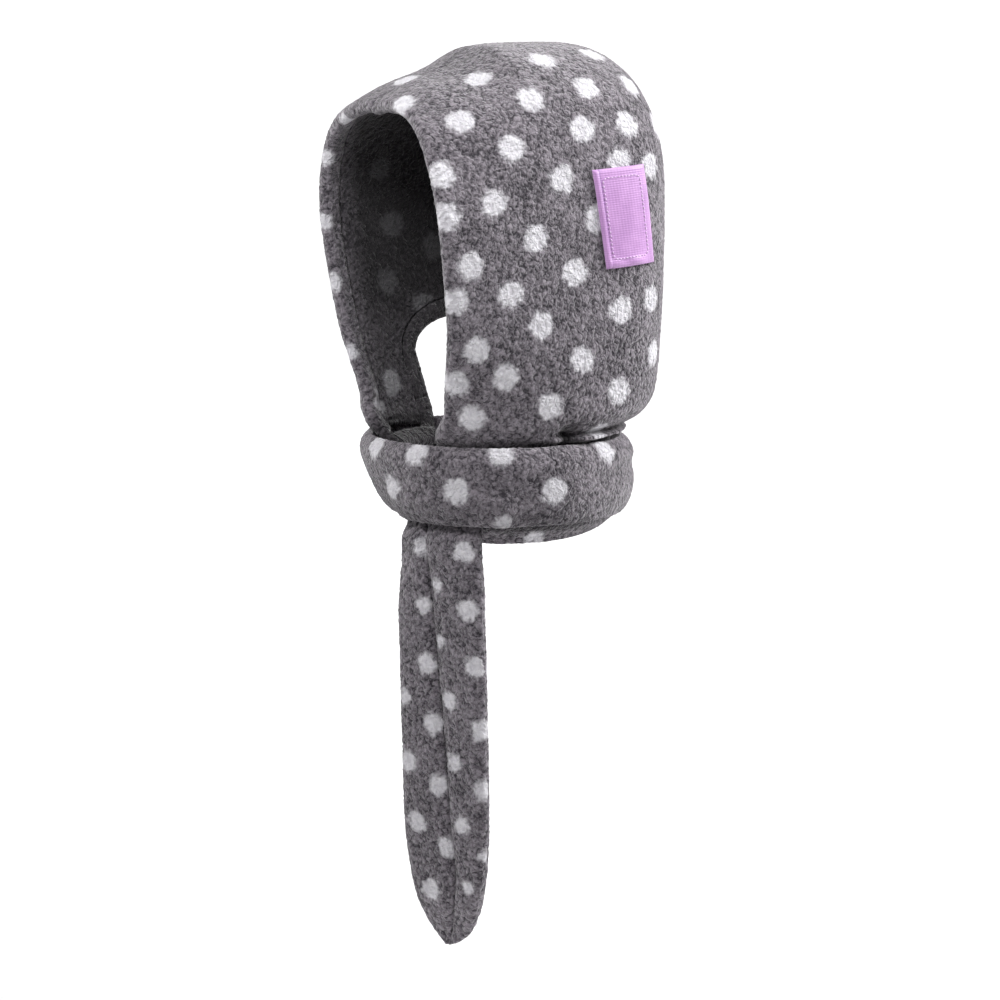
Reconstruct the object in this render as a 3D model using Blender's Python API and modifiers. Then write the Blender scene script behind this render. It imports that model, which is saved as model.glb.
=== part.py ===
"""Child's hooded scarf in dotted fleece: a lined hood, two turns round the neck and a hanging end."""

import math

import bpy
import numpy as np

MM = 0.001

# The fleece
FLEECE = 4.0 * MM
LAYER_GAP = 0.4 * MM
SEAT_GAP = 0.5 * MM

# The hood, measured from the top of the crown
HOOD_HALF_WIDTH = 82.5 * MM
HOOD_MIDDLE_Y = 18.0 * MM
HOOD_FRONT_REACH = 195.0 * MM
HOOD_BACK_REACH = 64.5 * MM
CROWN_DEPTH = 100.0 * MM
BAND_TOP_DROP = 231.0 * MM
COLLAR_DROP = 212.0 * MM
NECK_ABOVE_BAND = 4.5 * MM
CROWN_DROOP = 0.34
CROWN_LEVEL_FROM = -24.0 * MM
HOOD_ROUNDNESS = 2.5
RIM_FOOT_Y = -74.5 * MM
RIM_LEAN = 0.121
RIM_BOW = 2.5 * MM
CORNER_Y = 58.0 * MM
NAPE_ROLL_HEIGHT = 9.0 * MM
NEAR_FOLD_ANGLE = math.radians(94)

# The neck and the turns of scarf round it
NECK_Y = -10.0 * MM
BAND_RADIUS = 81.5 * MM
SCARF_THICKNESS = 8.0 * MM
BAND_HEIGHT = 45.0 * MM
BAND_TAPER = 15.0 * MM
BAND_TAPER_TOWARD = math.radians(-40)
FLAP_TUCK_DROP = 7.0 * MM
FLAP_TUCK_HEIGHT = 9.0 * MM
FLAP_END_DROP = 22.0 * MM
UNDER_TURN_TOP_DROP = 17.0 * MM
UNDER_TURN_SHOWS = 12.0 * MM
UNDER_TURN_DRAW = 6.0 * MM
NAPE_CREASE = 1.5 * MM
FAR_FRONT_LIFT = 3.0 * MM

# The opening at the far side, between the flap and the nape
SIDE_GAP_WIDTH = 70.0 * MM
SIDE_GAP_TOP_DROP = 165.0 * MM
SIDE_GAP_FRONT_Y = -30.0 * MM
SIDE_GAP_LEAN = 10.0 * MM

# The hanging end
TAIL_ANGLE = math.radians(36.5)
TAIL_FACING = math.radians(26)
TAIL_WIDTH = 56.0 * MM
TAIL_THICKNESS = 10.0 * MM
TAIL_TIP_DROP = 526.0 * MM
TAIL_TUCK = 11.0 * MM
TAIL_SWELL = 6.0 * MM

# The woven label
LABEL_WIDTH = 36.0 * MM
LABEL_HEIGHT = 57.0 * MM
LABEL_THICKNESS = 1.0 * MM
LABEL_CENTRE_Y = 28.0 * MM
LABEL_CENTRE_DROP = 101.0 * MM
LABEL_TILT = math.radians(7)
LABEL_COLUMNS = 6
LABEL_ROWS = 8

# How far the hood has narrowed to the neck's circle, between the crown's base and the band's top.
NARROWING = (
    # share of the way down, side, front, back
    (0.00, 0.00, 0.00, 0.00),
    (0.30, 0.01, 0.14, 0.00),
    (0.54, 0.04, 0.32, 0.01),
    (0.74, 0.11, 0.54, 0.04),
    (0.84, 0.20, 0.64, 0.10),
    (0.91, 0.38, 0.72, 0.30),
    (0.96, 0.68, 0.82, 0.64),
    (1.00, 1.00, 1.00, 1.00),
)

# Half widths of the hanging end, left and right of its middle, and the place of its seam.
TAIL_SHAPE = (
    # share of the length, left, right, seam from the left edge
    (0.00, 0.66, 0.39, 0.36),
    (0.10, 0.67, 0.39, 0.38),
    (0.22, 0.59, 0.46, 0.42),
    (0.38, 0.54, 0.50, 0.46),
    (0.65, 0.51, 0.52, 0.56),
    (0.73, 0.49, 0.52, 0.58),
    (0.82, 0.44, 0.49, 0.63),
    (0.89, 0.36, 0.44, 0.62),
    (0.93, 0.28, 0.37, 0.59),
    (0.965, 0.18, 0.28, 0.55),
    (0.99, 0.08, 0.15, 0.50),
    (1.00, 0.02, 0.05, 0.50),
)

FAN_ARCHES = 15
FAN_STEPS = 24
COLLAR_SHARES = (0.4, 0.68, 0.86, 1.0)
BISECTIONS = 40
CENTRE_SAMPLES = 120
ARCH_SAMPLES = 80
GAP_ARCH_STEPS = 12
RING_STEPS = 44
TAIL_ROWS = 22
TAIL_AROUND = 12
TAIL_TUCKED_ROWS = 2

WALL = 2 * FLEECE + LAYER_GAP
NECK_RADIUS = BAND_RADIUS - SCARF_THICKNESS - SEAT_GAP
NECK_DROP = BAND_TOP_DROP - NECK_ABOVE_BAND
BAND_BOTTOM_DROP = BAND_TOP_DROP + BAND_HEIGHT


def material(name, colour, roughness):
    """A plain Principled material in the piece's own colour."""
    made = bpy.data.materials.new(name)
    made.use_nodes = True
    shader = made.node_tree.nodes["Principled BSDF"]
    shader.inputs["Base Color"].default_value = (*colour, 1.0)
    shader.inputs["Roughness"].default_value = roughness
    shader.inputs["Metallic"].default_value = 0.0
    made.diffuse_color = (*colour, 1.0)
    return made


def start_scene():
    """Clears the scene and makes the collections for the parts and for the cutters."""
    for obj in list(bpy.data.objects):
        bpy.data.objects.remove(obj, do_unlink=True)
    parts = bpy.data.collections.new("hooded_scarf")
    cutters = bpy.data.collections.new("cutters")
    for collection in (parts, cutters):
        bpy.context.scene.collection.children.link(collection)
    cutters.hide_render = True
    return parts, cutters


def add_mesh(name, points, faces, collection, surface=None):
    """A smooth-shaded mesh object, its points lifted so that the inside of the crown is at the origin."""
    lifted = [(x, y, z + WALL) for x, y, z in points]
    mesh = bpy.data.meshes.new(name)
    mesh.from_pydata(lifted, [], faces)
    mesh.update()
    mesh.shade_smooth()
    if surface is not None:
        mesh.materials.append(surface)
    obj = bpy.data.objects.new(name, mesh)
    collection.objects.link(obj)
    return obj


def column(table, place, index):
    """One column of a table at a place between its rows, without overshoot."""
    places = [row[0] for row in table]
    values = [row[index] for row in table]
    if place <= places[0]:
        return values[0]
    if place >= places[-1]:
        return values[-1]
    k = max(i for i in range(len(places) - 1) if places[i] <= place)
    slopes = []
    for i in range(len(places)):
        before = max(i - 1, 0)
        after = min(i + 1, len(places) - 1)
        slopes.append((values[after] - values[before]) / (places[after] - places[before]))
    step = places[k + 1] - places[k]
    t = (place - places[k]) / step
    bend = t * t * (3 - 2 * t)
    lead = t * (1 - t) * (1 - t) * step * slopes[k]
    trail = t * t * (1 - t) * step * slopes[k + 1]
    value = values[k] + (values[k + 1] - values[k]) * bend + lead - trail
    return min(max(value, min(values[k], values[k + 1])), max(values[k], values[k + 1]))


def smooth(low, high, value):
    """0 below low, 1 above high and an even curve between them."""
    t = min(max((value - low) / (high - low), 0.0), 1.0)
    return t * t * (3 - 2 * t)


def bump(angle, middle, spread):
    """A soft rise round one angle of the neck, 1 at its middle."""
    turn = (angle - middle + math.pi) % (2 * math.pi) - math.pi
    return math.exp(-((turn / spread) ** 2))


def hood_level(x, y, z):
    """Under 1 inside the hood's outer skin, 1 on it and over 1 outside."""
    droop = smooth(-1.6 * CROWN_DEPTH, -0.7 * CROWN_DEPTH, z)
    raised = z + droop * CROWN_DROOP * max(CROWN_LEVEL_FROM - y, 0.0)
    if raised > -CROWN_DEPTH:
        reach = HOOD_FRONT_REACH if y < HOOD_MIDDLE_Y else HOOD_BACK_REACH
        above = (raised + CROWN_DEPTH) / CROWN_DEPTH
        power = HOOD_ROUNDNESS
        across = abs(x / HOOD_HALF_WIDTH) ** power
        along = abs((y - HOOD_MIDDLE_Y) / reach) ** power
        return across + along + above**power
    down = (-CROWN_DEPTH - raised) / (NECK_DROP - CROWN_DEPTH)
    side, front, back = (column(NARROWING, down, i) for i in (1, 2, 3))
    middle = HOOD_MIDDLE_Y + (NECK_Y - HOOD_MIDDLE_Y) * back
    half = HOOD_HALF_WIDTH + (NECK_RADIUS - HOOD_HALF_WIDTH) * side
    if y < middle:
        reach = HOOD_FRONT_REACH + (NECK_RADIUS - HOOD_FRONT_REACH) * front
    else:
        reach = HOOD_BACK_REACH + (NECK_RADIUS - HOOD_BACK_REACH) * back
    power = HOOD_ROUNDNESS + (2 - HOOD_ROUNDNESS) * front
    return abs(x / half) ** power + abs((y - middle) / reach) ** power


def reach_skin(start, direction, far):
    """The point of the hood's skin on a line from a point inside it."""
    low, high = 0.0, far
    for _ in range(BISECTIONS):
        mid = (low + high) / 2
        x, y, z = (s + mid * d for s, d in zip(start, direction))
        if hood_level(x, y, z) < 1:
            low = mid
        else:
            high = mid
    return tuple(s + low * d for s, d in zip(start, direction))


def half_width(y, z):
    """Half the hood's width at a point of its side view."""
    return reach_skin((0.0, y, z), (1.0, 0.0, 0.0), 2 * HOOD_HALF_WIDTH)[0]


def resample(points, count):
    """Points at even steps along a line of points."""
    line = np.array(points)
    steps = np.linalg.norm(np.diff(line, axis=0), axis=1)
    along = np.concatenate([[0.0], np.cumsum(steps)])
    wanted = np.linspace(0.0, along[-1], count + 1)
    columns = [np.interp(wanted, along, line[:, i]) for i in range(3)]
    return [tuple(float(value) for value in point) for point in zip(*columns)]


def centre_line():
    """The hood's middle line, from the brim over the crown and down the back to the collar."""
    up = (0.0, -RIM_LEAN, 1.0)
    brim = reach_skin((0.0, RIM_FOOT_Y, -COLLAR_DROP), up, 2 * BAND_TOP_DROP)
    heart = (0.0, 0.0, -CROWN_DEPTH)
    first = math.atan2(brim[1], brim[2] - heart[2])
    foot = reach_skin((0.0, 0.0, -COLLAR_DROP), (0.0, 1.0, 0.0), 2 * HOOD_BACK_REACH)
    last = math.atan2(foot[1], foot[2] - heart[2])
    line = [brim]
    for k in range(1, CENTRE_SAMPLES):
        turn = first + (last - first) * k / CENTRE_SAMPLES
        line.append(reach_skin(heart, (0.0, math.sin(turn), math.cos(turn)), 4 * BAND_TOP_DROP))
    line.append(foot)
    return line


def arch(foot_y, top, bow):
    """Half an arch of the hood, from the collar at the near side up to the middle line."""
    line = []
    for k in range(ARCH_SAMPLES + 1):
        share = math.sin(math.pi / 2 * k / ARCH_SAMPLES)
        y = foot_y + (top[1] - foot_y) * share - bow * math.sin(math.pi * share)
        z = -COLLAR_DROP + (top[2] + COLLAR_DROP) * share
        line.append((half_width(y, z) if k < ARCH_SAMPLES else 0.0, y, z))
    return resample(line, FAN_STEPS // 2)


def band_radius(angle, drop):
    """The outer radius of the scarf's outer turn, drawn in low at the far front."""
    toward = (0.5 + 0.5 * math.cos(angle - BAND_TAPER_TOWARD)) ** 1.5
    low = max((drop - BAND_TOP_DROP - 0.15 * BAND_HEIGHT) / (0.8 * BAND_HEIGHT), 0.0)
    return BAND_RADIUS - BAND_TAPER * toward * low**1.3


def neck_point(angle, radius, drop):
    """A point round the neck: angle 0 is the front, and it turns toward the near side."""
    return (radius * math.sin(angle), NECK_Y - radius * math.cos(angle), -drop)


def collar_point(angle, drop):
    """A point of the hood's outer skin from the collar line down into the band."""
    nape = smooth(math.radians(70), math.radians(100), abs(angle))
    tuck_from = BAND_TOP_DROP + FLAP_TUCK_DROP
    if drop < NECK_DROP:
        start = (0.0, NECK_Y, -drop)
        x, y, _ = reach_skin(start, (math.sin(angle), -math.cos(angle), 0.0), 3 * HOOD_HALF_WIDTH)
        radius = math.hypot(x, y - NECK_Y)
        above_roll = (drop - BAND_TOP_DROP + NAPE_ROLL_HEIGHT) / (0.4 * NAPE_ROLL_HEIGHT)
        radius -= 0.3 * FLEECE * nape * math.exp(-above_roll * above_roll)
    else:
        tucked = smooth(tuck_from, tuck_from + FLAP_TUCK_HEIGHT, drop)
        radius = band_radius(angle, drop) - SCARF_THICKNESS - SEAT_GAP
        radius -= (SCARF_THICKNESS + SEAT_GAP) * tucked
    fold = bump(angle, NEAR_FOLD_ANGLE, math.radians(7))
    radius -= 0.5 * FLEECE * fold * smooth(0.86, 1.0, drop / BAND_TOP_DROP)
    return neck_point(angle, radius, drop)


def hood_skin():
    """The hood's outer skin: a fan of arches from the rim to the nape, on a collar of level rows."""
    middle = resample(centre_line(), FAN_ARCHES)
    points, grid = [], []
    for j, top in enumerate(middle):
        share = j / FAN_ARCHES
        foot_y = RIM_FOOT_Y + (CORNER_Y - RIM_FOOT_Y) * share
        half = arch(foot_y, top, RIM_BOW * (1 - share) ** 4)
        row = [(-x, y, z) for x, y, z in half[:-1]]
        row += half[::-1]
        grid.append([len(points) + k for k in range(len(row))])
        points += row
    faces = []
    for j in range(FAN_ARCHES):
        for k in range(FAN_STEPS):
            faces.append((grid[j][k], grid[j][k + 1], grid[j + 1][k + 1], grid[j + 1][k]))
    edge = [grid[j][0] for j in range(FAN_ARCHES)] + grid[FAN_ARCHES]
    edge += [grid[j][-1] for j in range(FAN_ARCHES - 1, -1, -1)]
    angles = [math.atan2(points[i][0], NECK_Y - points[i][1]) for i in edge]
    drops = [COLLAR_DROP + (NECK_DROP - COLLAR_DROP) * share for share in COLLAR_SHARES]
    tuck_from = BAND_TOP_DROP + FLAP_TUCK_DROP
    drops += [tuck_from, tuck_from + FLAP_TUCK_HEIGHT, BAND_TOP_DROP + FLAP_END_DROP]
    above = edge
    for drop in drops:
        below = [len(points) + k for k in range(len(edge))]
        points += [collar_point(angle, drop) for angle in angles]
        for k in range(len(edge) - 1):
            faces.append((above[k], above[k + 1], below[k + 1], below[k]))
        above = below
    return points, faces


def add_layer(name, depth, surface, collection, cutter):
    """One layer of fleece under the hood's skin, cut open at the far side."""
    points, faces = hood_skin()
    layer = add_mesh(name, points, faces, collection, surface)
    planes = layer.modifiers.new("flat facets", "TRIANGULATE")
    planes.quad_method = "BEAUTY"
    wall = layer.modifiers.new("fleece", "SOLIDIFY")
    wall.thickness = FLEECE
    wall.offset = -1 - 2 * depth / FLEECE
    wall.use_even_offset = True
    wall.use_quality_normals = True
    gap = layer.modifiers.new("side gap", "BOOLEAN")
    gap.operation = "DIFFERENCE"
    gap.solver = "EXACT"
    gap.object = cutter
    return layer


def add_gap_cutter(collection):
    """An arched bar through the far wall of the hood, from the side gap's top down past the flap's end."""
    foot = BAND_TOP_DROP + FLAP_END_DROP + SIDE_GAP_LEAN
    front, back = SIDE_GAP_FRONT_Y, SIDE_GAP_FRONT_Y + SIDE_GAP_WIDTH
    arch_height = 0.36 * SIDE_GAP_WIDTH
    shoulder = SIDE_GAP_TOP_DROP + arch_height
    outline = [
        (front + SIDE_GAP_LEAN, -foot),
        (front + 0.8 * SIDE_GAP_LEAN, SIDE_GAP_LEAN - BAND_TOP_DROP),
    ]
    middle = (front + back) / 2
    for k in range(GAP_ARCH_STEPS + 1):
        turn = math.pi * k / GAP_ARCH_STEPS
        across = SIDE_GAP_WIDTH / 2 * math.cos(turn)
        outline.append((middle - across, -shoulder + arch_height * math.sin(turn)))
    outline.append((back - 0.4 * SIDE_GAP_LEAN, -foot))
    inner, outer = -0.25 * HOOD_HALF_WIDTH, -1.4 * HOOD_HALF_WIDTH
    count = len(outline)
    points = [(inner, y, z) for y, z in outline] + [(outer, y, z) for y, z in outline]
    faces = [tuple(range(count - 1, -1, -1)), tuple(range(count, 2 * count))]
    faces += [(k, (k + 1) % count, (k + 1) % count + count, k + count) for k in range(count)]
    cutter = add_mesh("side_gap_cutter", points, faces, collection)
    cutter.hide_render = True
    cutter.display_type = "WIRE"
    return cutter


def add_ring(name, section, surface, collection):
    """A closed turn of scarf: a cross-section for each angle round the neck, joined to the next."""
    rings = [section(2 * math.pi * k / RING_STEPS) for k in range(RING_STEPS)]
    around = len(rings[0])
    points = [point for ring in rings for point in ring]
    faces = []
    for k in range(RING_STEPS):
        after = (k + 1) % RING_STEPS
        for i in range(around):
            j = (i + 1) % around
            faces.append((k * around + i, k * around + j, after * around + j, after * around + i))
    return add_mesh(name, points, faces, collection, surface)


def folded_section(angle, top, bottom, outer, inner):
    """The cross-section of a flattened turn of scarf with soft edges, from its top over the outside and back."""
    section = []
    shares = (0.0, 0.10, 0.30, 0.50, 0.70, 0.90, 1.0)
    rounding = (0.42, 0.85, 1.0, 1.0, 1.0, 0.85, 0.42)
    for share, full in zip(shares, rounding):
        drop = top + (bottom - top) * share
        mid = (outer(angle, drop) + inner(angle, drop)) / 2
        section.append(neck_point(angle, mid + (outer(angle, drop) - mid) * full, drop))
    for share, full in zip(reversed(shares), reversed(rounding)):
        drop = top + (bottom - top) * share
        mid = (outer(angle, drop) + inner(angle, drop)) / 2
        section.append(neck_point(angle, mid + (inner(angle, drop) - mid) * full, drop))
    return section


def tail_swell(angle, drop):
    """How far the outer turn stands off over the tucked top of the hanging end."""
    tail_top = BAND_BOTTOM_DROP - TAIL_TUCK
    low = smooth(tail_top - 2 * TAIL_SWELL, tail_top - TAIL_SWELL / 3, drop)
    across = abs((angle - TAIL_ANGLE + math.pi) % (2 * math.pi) - math.pi) * NECK_RADIUS
    return TAIL_SWELL * low * (1 - smooth(0.56 * TAIL_WIDTH, 0.81 * TAIL_WIDTH, across))


def outer_turn_outside(angle, drop):
    """The outer turn's outer face, with a soft crease round the nape."""
    nape = bump(angle, math.radians(150), math.radians(55))
    crease = (drop - BAND_TOP_DROP - 0.4 * BAND_HEIGHT) / (0.12 * BAND_HEIGHT)
    radius = band_radius(angle, drop) + 0.6 * tail_swell(angle, drop)
    return radius - NAPE_CREASE * nape * math.exp(-crease * crease)


def outer_turn_inside(angle, drop):
    """The outer turn's inner face, pushed out where the hanging end is tucked under it."""
    return band_radius(angle, drop) - SCARF_THICKNESS + tail_swell(angle, drop)


def under_turn_outside(angle, drop):
    """The under turn's outer face, drawn in toward its lower edge."""
    drawn_in = UNDER_TURN_DRAW * smooth(BAND_BOTTOM_DROP, BAND_BOTTOM_DROP + UNDER_TURN_SHOWS, drop)
    return band_radius(angle, drop) - SCARF_THICKNESS - SEAT_GAP - drawn_in


def under_turn_inside(angle, drop):
    """The under turn's inner face, which lies on the hood's tucked collar and the neck."""
    return band_radius(angle, drop) - 2 * SCARF_THICKNESS


def band_top(angle):
    """The band's top edge, a little lower at the nape."""
    return BAND_TOP_DROP + 0.04 * BAND_HEIGHT * bump(angle, math.radians(160), math.radians(50))


def band_bottom(angle):
    """The band's lower edge, a little higher at the far front."""
    return BAND_BOTTOM_DROP - FAR_FRONT_LIFT * bump(angle, BAND_TAPER_TOWARD, math.radians(40))


def under_bottom(angle):
    """The under turn's lower edge, out of sight at the far front."""
    hidden = bump(angle, BAND_TAPER_TOWARD - math.radians(10), math.radians(45))
    return BAND_BOTTOM_DROP + UNDER_TURN_SHOWS * (1 - 1.7 * hidden)


def outer_section(angle):
    """The outer turn's cross-section at one angle of the neck."""
    top, bottom = band_top(angle), band_bottom(angle)
    return folded_section(angle, top, bottom, outer_turn_outside, outer_turn_inside)


def under_section(angle):
    """The under turn's cross-section at one angle of the neck."""
    top = BAND_TOP_DROP + UNDER_TURN_TOP_DROP
    return folded_section(angle, top, under_bottom(angle), under_turn_outside, under_turn_inside)


def tail_point(place, depth, drop):
    """A point of the hanging end: laid round the under turn where it is tucked in, and flat below."""
    seat = min(drop, BAND_BOTTOM_DROP)
    laid = TAIL_ANGLE + place / NECK_RADIUS
    round_neck = neck_point(laid, under_turn_outside(laid, seat) + SEAT_GAP + depth, drop)
    seat_radius = under_turn_outside(TAIL_ANGLE, BAND_BOTTOM_DROP) + SEAT_GAP
    x0, y0, _ = neck_point(TAIL_ANGLE, seat_radius, drop)
    x = x0 + math.cos(TAIL_FACING) * place + math.sin(TAIL_FACING) * depth
    y = y0 + math.sin(TAIL_FACING) * place - math.cos(TAIL_FACING) * depth
    flat = smooth(BAND_BOTTOM_DROP + UNDER_TURN_SHOWS, BAND_BOTTOM_DROP + 5 * UNDER_TURN_SHOWS, drop)
    x = round_neck[0] + (x - round_neck[0]) * flat
    y = round_neck[1] + (y - round_neck[1]) * flat
    return (x, y, -drop)


def tail_row_drop(k):
    """The rows of the hanging end: three where it is tucked in, then closer together toward the tip."""
    if k <= TAIL_TUCKED_ROWS:
        return BAND_BOTTOM_DROP - TAIL_TUCK * (1 - k / TAIL_TUCKED_ROWS)
    share = (k - TAIL_TUCKED_ROWS) / (TAIL_ROWS - TAIL_TUCKED_ROWS)
    eased = 0.5 * share + 0.5 * math.sin(math.pi / 2 * share)
    return BAND_BOTTOM_DROP + (TAIL_TIP_DROP - BAND_BOTTOM_DROP) * eased


def add_tail_panel(name, is_front, surface, collection):
    """One long panel of the hanging end, from its seam to its outer edge."""
    top = BAND_BOTTOM_DROP - TAIL_TUCK
    points, faces = [], []
    around = TAIL_AROUND
    for k in range(TAIL_ROWS + 1):
        drop = tail_row_drop(k)
        share = (drop - top) / (TAIL_TIP_DROP - top)
        left, right, seam = (column(TAIL_SHAPE, share, i) * TAIL_WIDTH for i in (1, 2, 3))
        seam_at = -left + seam / TAIL_WIDTH * (left + right)
        if is_front:
            low, high, shift = -left, seam_at - LAYER_GAP / 2, 0.08 * TAIL_THICKNESS
        else:
            low, high, shift = seam_at + LAYER_GAP / 2, right, 0.0
        swell = smooth(BAND_BOTTOM_DROP, BAND_BOTTOM_DROP + UNDER_TURN_SHOWS, drop)
        tip = smooth(0.0, 0.12, 1 - share)
        half = TAIL_THICKNESS / 2 * (0.45 + 0.55 * swell) * (0.45 + 0.55 * tip)
        middle = half + shift * swell * tip
        for i in range(around):
            turn = 2 * math.pi * i / around
            side = math.copysign(abs(math.cos(turn)) ** 0.62, math.cos(turn))
            rise = math.copysign(abs(math.sin(turn)) ** 0.75, math.sin(turn))
            place = (low + high) / 2 + (high - low) / 2 * side
            points.append(tail_point(place, middle + rise * half, drop))
    for k in range(TAIL_ROWS):
        for i in range(around):
            j = (i + 1) % around
            above, below = k * around, (k + 1) * around
            faces.append((above + i, above + j, below + j, below + i))
    last = TAIL_ROWS * around
    faces.append(tuple(range(around - 1, -1, -1)))
    faces.append(tuple(last + i for i in range(around)))
    return add_mesh(name, points, faces, collection, surface)


def add_label(surface, collection):
    """The woven label, laid over the near side of the hood toward the back."""
    columns, rows = LABEL_COLUMNS, LABEL_ROWS
    points, faces = [], []
    for j in range(rows + 1):
        for i in range(columns + 1):
            across = LABEL_WIDTH * (i / columns - 0.5)
            up = LABEL_HEIGHT * (j / rows - 0.5)
            y = LABEL_CENTRE_Y + across * math.cos(LABEL_TILT) - up * math.sin(LABEL_TILT)
            z = -LABEL_CENTRE_DROP + across * math.sin(LABEL_TILT) + up * math.cos(LABEL_TILT)
            points.append((half_width(y, z) + SEAT_GAP, y, z))
    wide = columns + 1
    for j in range(rows):
        for i in range(columns):
            lower, upper = j * wide + i, (j + 1) * wide + i
            faces.append((lower, lower + 1, upper + 1, upper))
    label = add_mesh("woven_label", points, faces, collection, surface)
    sheet = label.modifiers.new("weave", "SOLIDIFY")
    sheet.thickness = LABEL_THICKNESS
    sheet.offset = 1.0
    return label


def main():
    parts, cutters = start_scene()
    fleece = material("dotted fleece", (0.165, 0.151, 0.168), 0.95)
    lining = material("fleece lining", (0.130, 0.118, 0.128), 0.95)
    scarf = material("scarf fleece", (0.118, 0.107, 0.120), 0.95)
    woven = material("woven label", (0.610, 0.380, 0.680), 0.70)
    cutter = add_gap_cutter(cutters)
    add_layer("hood_shell", 0.0, fleece, parts, cutter)
    add_layer("hood_lining", FLEECE + LAYER_GAP, lining, parts, cutter)
    add_ring("outer_wrap", outer_section, scarf, parts)
    add_ring("under_wrap", under_section, scarf, parts)
    add_tail_panel("tail_front_panel", True, scarf, parts)
    add_tail_panel("tail_side_panel", False, scarf, parts)
    add_label(woven, parts)


main()
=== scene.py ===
import math

import bpy
import numpy as np
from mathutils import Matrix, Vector


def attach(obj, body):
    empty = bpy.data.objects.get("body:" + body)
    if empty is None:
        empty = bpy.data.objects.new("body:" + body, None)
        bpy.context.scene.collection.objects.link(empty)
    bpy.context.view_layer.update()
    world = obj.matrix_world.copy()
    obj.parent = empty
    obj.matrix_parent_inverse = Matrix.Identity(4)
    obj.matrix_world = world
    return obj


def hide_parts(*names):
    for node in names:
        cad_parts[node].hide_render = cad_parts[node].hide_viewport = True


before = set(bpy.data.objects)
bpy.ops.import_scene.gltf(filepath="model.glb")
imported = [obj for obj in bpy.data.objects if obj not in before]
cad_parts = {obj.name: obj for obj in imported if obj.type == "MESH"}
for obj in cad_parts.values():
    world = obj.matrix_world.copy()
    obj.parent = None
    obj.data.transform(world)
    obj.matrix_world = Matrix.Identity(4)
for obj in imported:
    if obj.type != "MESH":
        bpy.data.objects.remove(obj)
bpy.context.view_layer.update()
mm = 0.001

# the camera, where the picture was taken from

view = {
    "azimuth": math.radians(60.2),
    "distance": 1.765,
    "height": 0.01625,
    "tilt": math.radians(9.05),
    "side": -0.0064,
    "focal": 2.996,
}
viewRight = np.array([math.cos(view["azimuth"]), math.sin(view["azimuth"]), 0.0])
viewToward = np.array([math.sin(view["azimuth"]), -math.cos(view["azimuth"]), 0.0])
viewAhead = -viewToward * math.cos(view["tilt"]) - np.array([0.0, 0.0, math.sin(view["tilt"])])
viewUp = np.cross(viewRight, viewAhead)
viewEye = viewToward * view["distance"] + viewRight * view["side"] + np.array([0.0, 0.0, view["height"]])


def addCamera():
    data = bpy.data.cameras.new("camera")
    data.sensor_width = 36.0
    data.lens = 36.0 * view["focal"]
    camera = bpy.data.objects.new("camera", data)
    bpy.context.scene.collection.objects.link(camera)
    camera.location = viewEye
    camera.rotation_euler = Vector(viewAhead).to_track_quat("-Z", "Y").to_euler()
    bpy.context.scene.camera = camera


def pictureAt(points):
    # where points of the hood fall in the picture, 1000 wide and 1000 high
    away = points + [0.0, 0.0, hood["wall"]] - viewEye
    deep = away @ viewAhead
    focal = 1000 * view["focal"]
    across, down = 500 + focal * (away @ viewRight) / deep, 500 - focal * (away @ viewUp) / deep
    return np.stack([across, down], axis=-1)


addCamera()

# sizes of the hood and the neck

hood = {
    "halfWidth": 82.5 * mm,
    "middleY": 18.0 * mm,
    "frontReach": 195.0 * mm,
    "backReach": 64.5 * mm,
    "crownDepth": 100.0 * mm,
    "droop": 0.34,
    "levelFromY": -24.0 * mm,
    "roundness": 2.5,
    "rimFootY": -74.5 * mm,
    "rimLean": 0.121,
    "rimBow": 2.5 * mm,
    "cornerY": 58.0 * mm,
    "collarDrop": 212.0 * mm,
    "fleece": 4.0 * mm,
    "wall": 8.4 * mm,
    "napeRollHeight": 6.0 * mm,
    "napeSwell": 8.0 * mm,
    "nearFoldAngle": math.radians(94),
    # share of the way down to the neck, and how far side, front and back have drawn in
    "narrowing": (
        (0.00, 0.00, 0.00, 0.00),
        (0.30, 0.01, 0.14, 0.00),
        (0.54, 0.04, 0.32, 0.01),
        (0.74, 0.11, 0.54, 0.04),
        (0.84, 0.20, 0.64, 0.10),
        (0.91, 0.38, 0.72, 0.30),
        (0.96, 0.68, 0.82, 0.64),
        (1.00, 1.00, 1.00, 1.00),
    ),
    "gapWidth": 70.0 * mm,
    "gapTopDrop": 165.0 * mm,
    "gapFrontY": -30.0 * mm,
    "gapLean": 10.0 * mm,
    # how far the crown has sunk before and behind its top, and how the rims run into the scarf
    "crownSinks": (
        (-95.0 * mm, 22.0 * mm, 4.5 * mm),
        (-48.0 * mm, 26.0 * mm, 5.5 * mm),
        (18.0 * mm, 60.0 * mm, 3.0 * mm),
    ),
    "nearRimInset": 3.2 * mm,
    "browInset": 4.0 * mm,
    "browAt": 0.555,
    "browSpread": 0.075,
    "nearInsetEnds": (-0.21, -0.14),
    "rimForward": 0.15,
    "foldDepth": 6.0 * mm,
}

neck = {
    "y": -10.0 * mm,
    "radius": 73.0 * mm,
    "drop": 226.5 * mm,
    "bandRadius": 81.5 * mm,
    "thickness": 8.0 * mm,
    "seatGap": 0.5 * mm,
    "bandTop": 231.0 * mm,
    "bandHeight": 45.0 * mm,
    "taper": 15.0 * mm,
    "taperToward": math.radians(-40),
    "nape": math.radians(150),
    "tuckDrop": 7.0 * mm,
    "tuckHeight": 9.0 * mm,
    "underTop": 17.0 * mm,
    "underShows": 12.0 * mm,
    "underDraw": 6.0 * mm,
    "napeCrease": 1.5 * mm,
    "farFrontLift": 3.0 * mm,
    "lean": 2.5 * mm,
}
bandBottomDrop = neck["bandTop"] + neck["bandHeight"]

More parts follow.
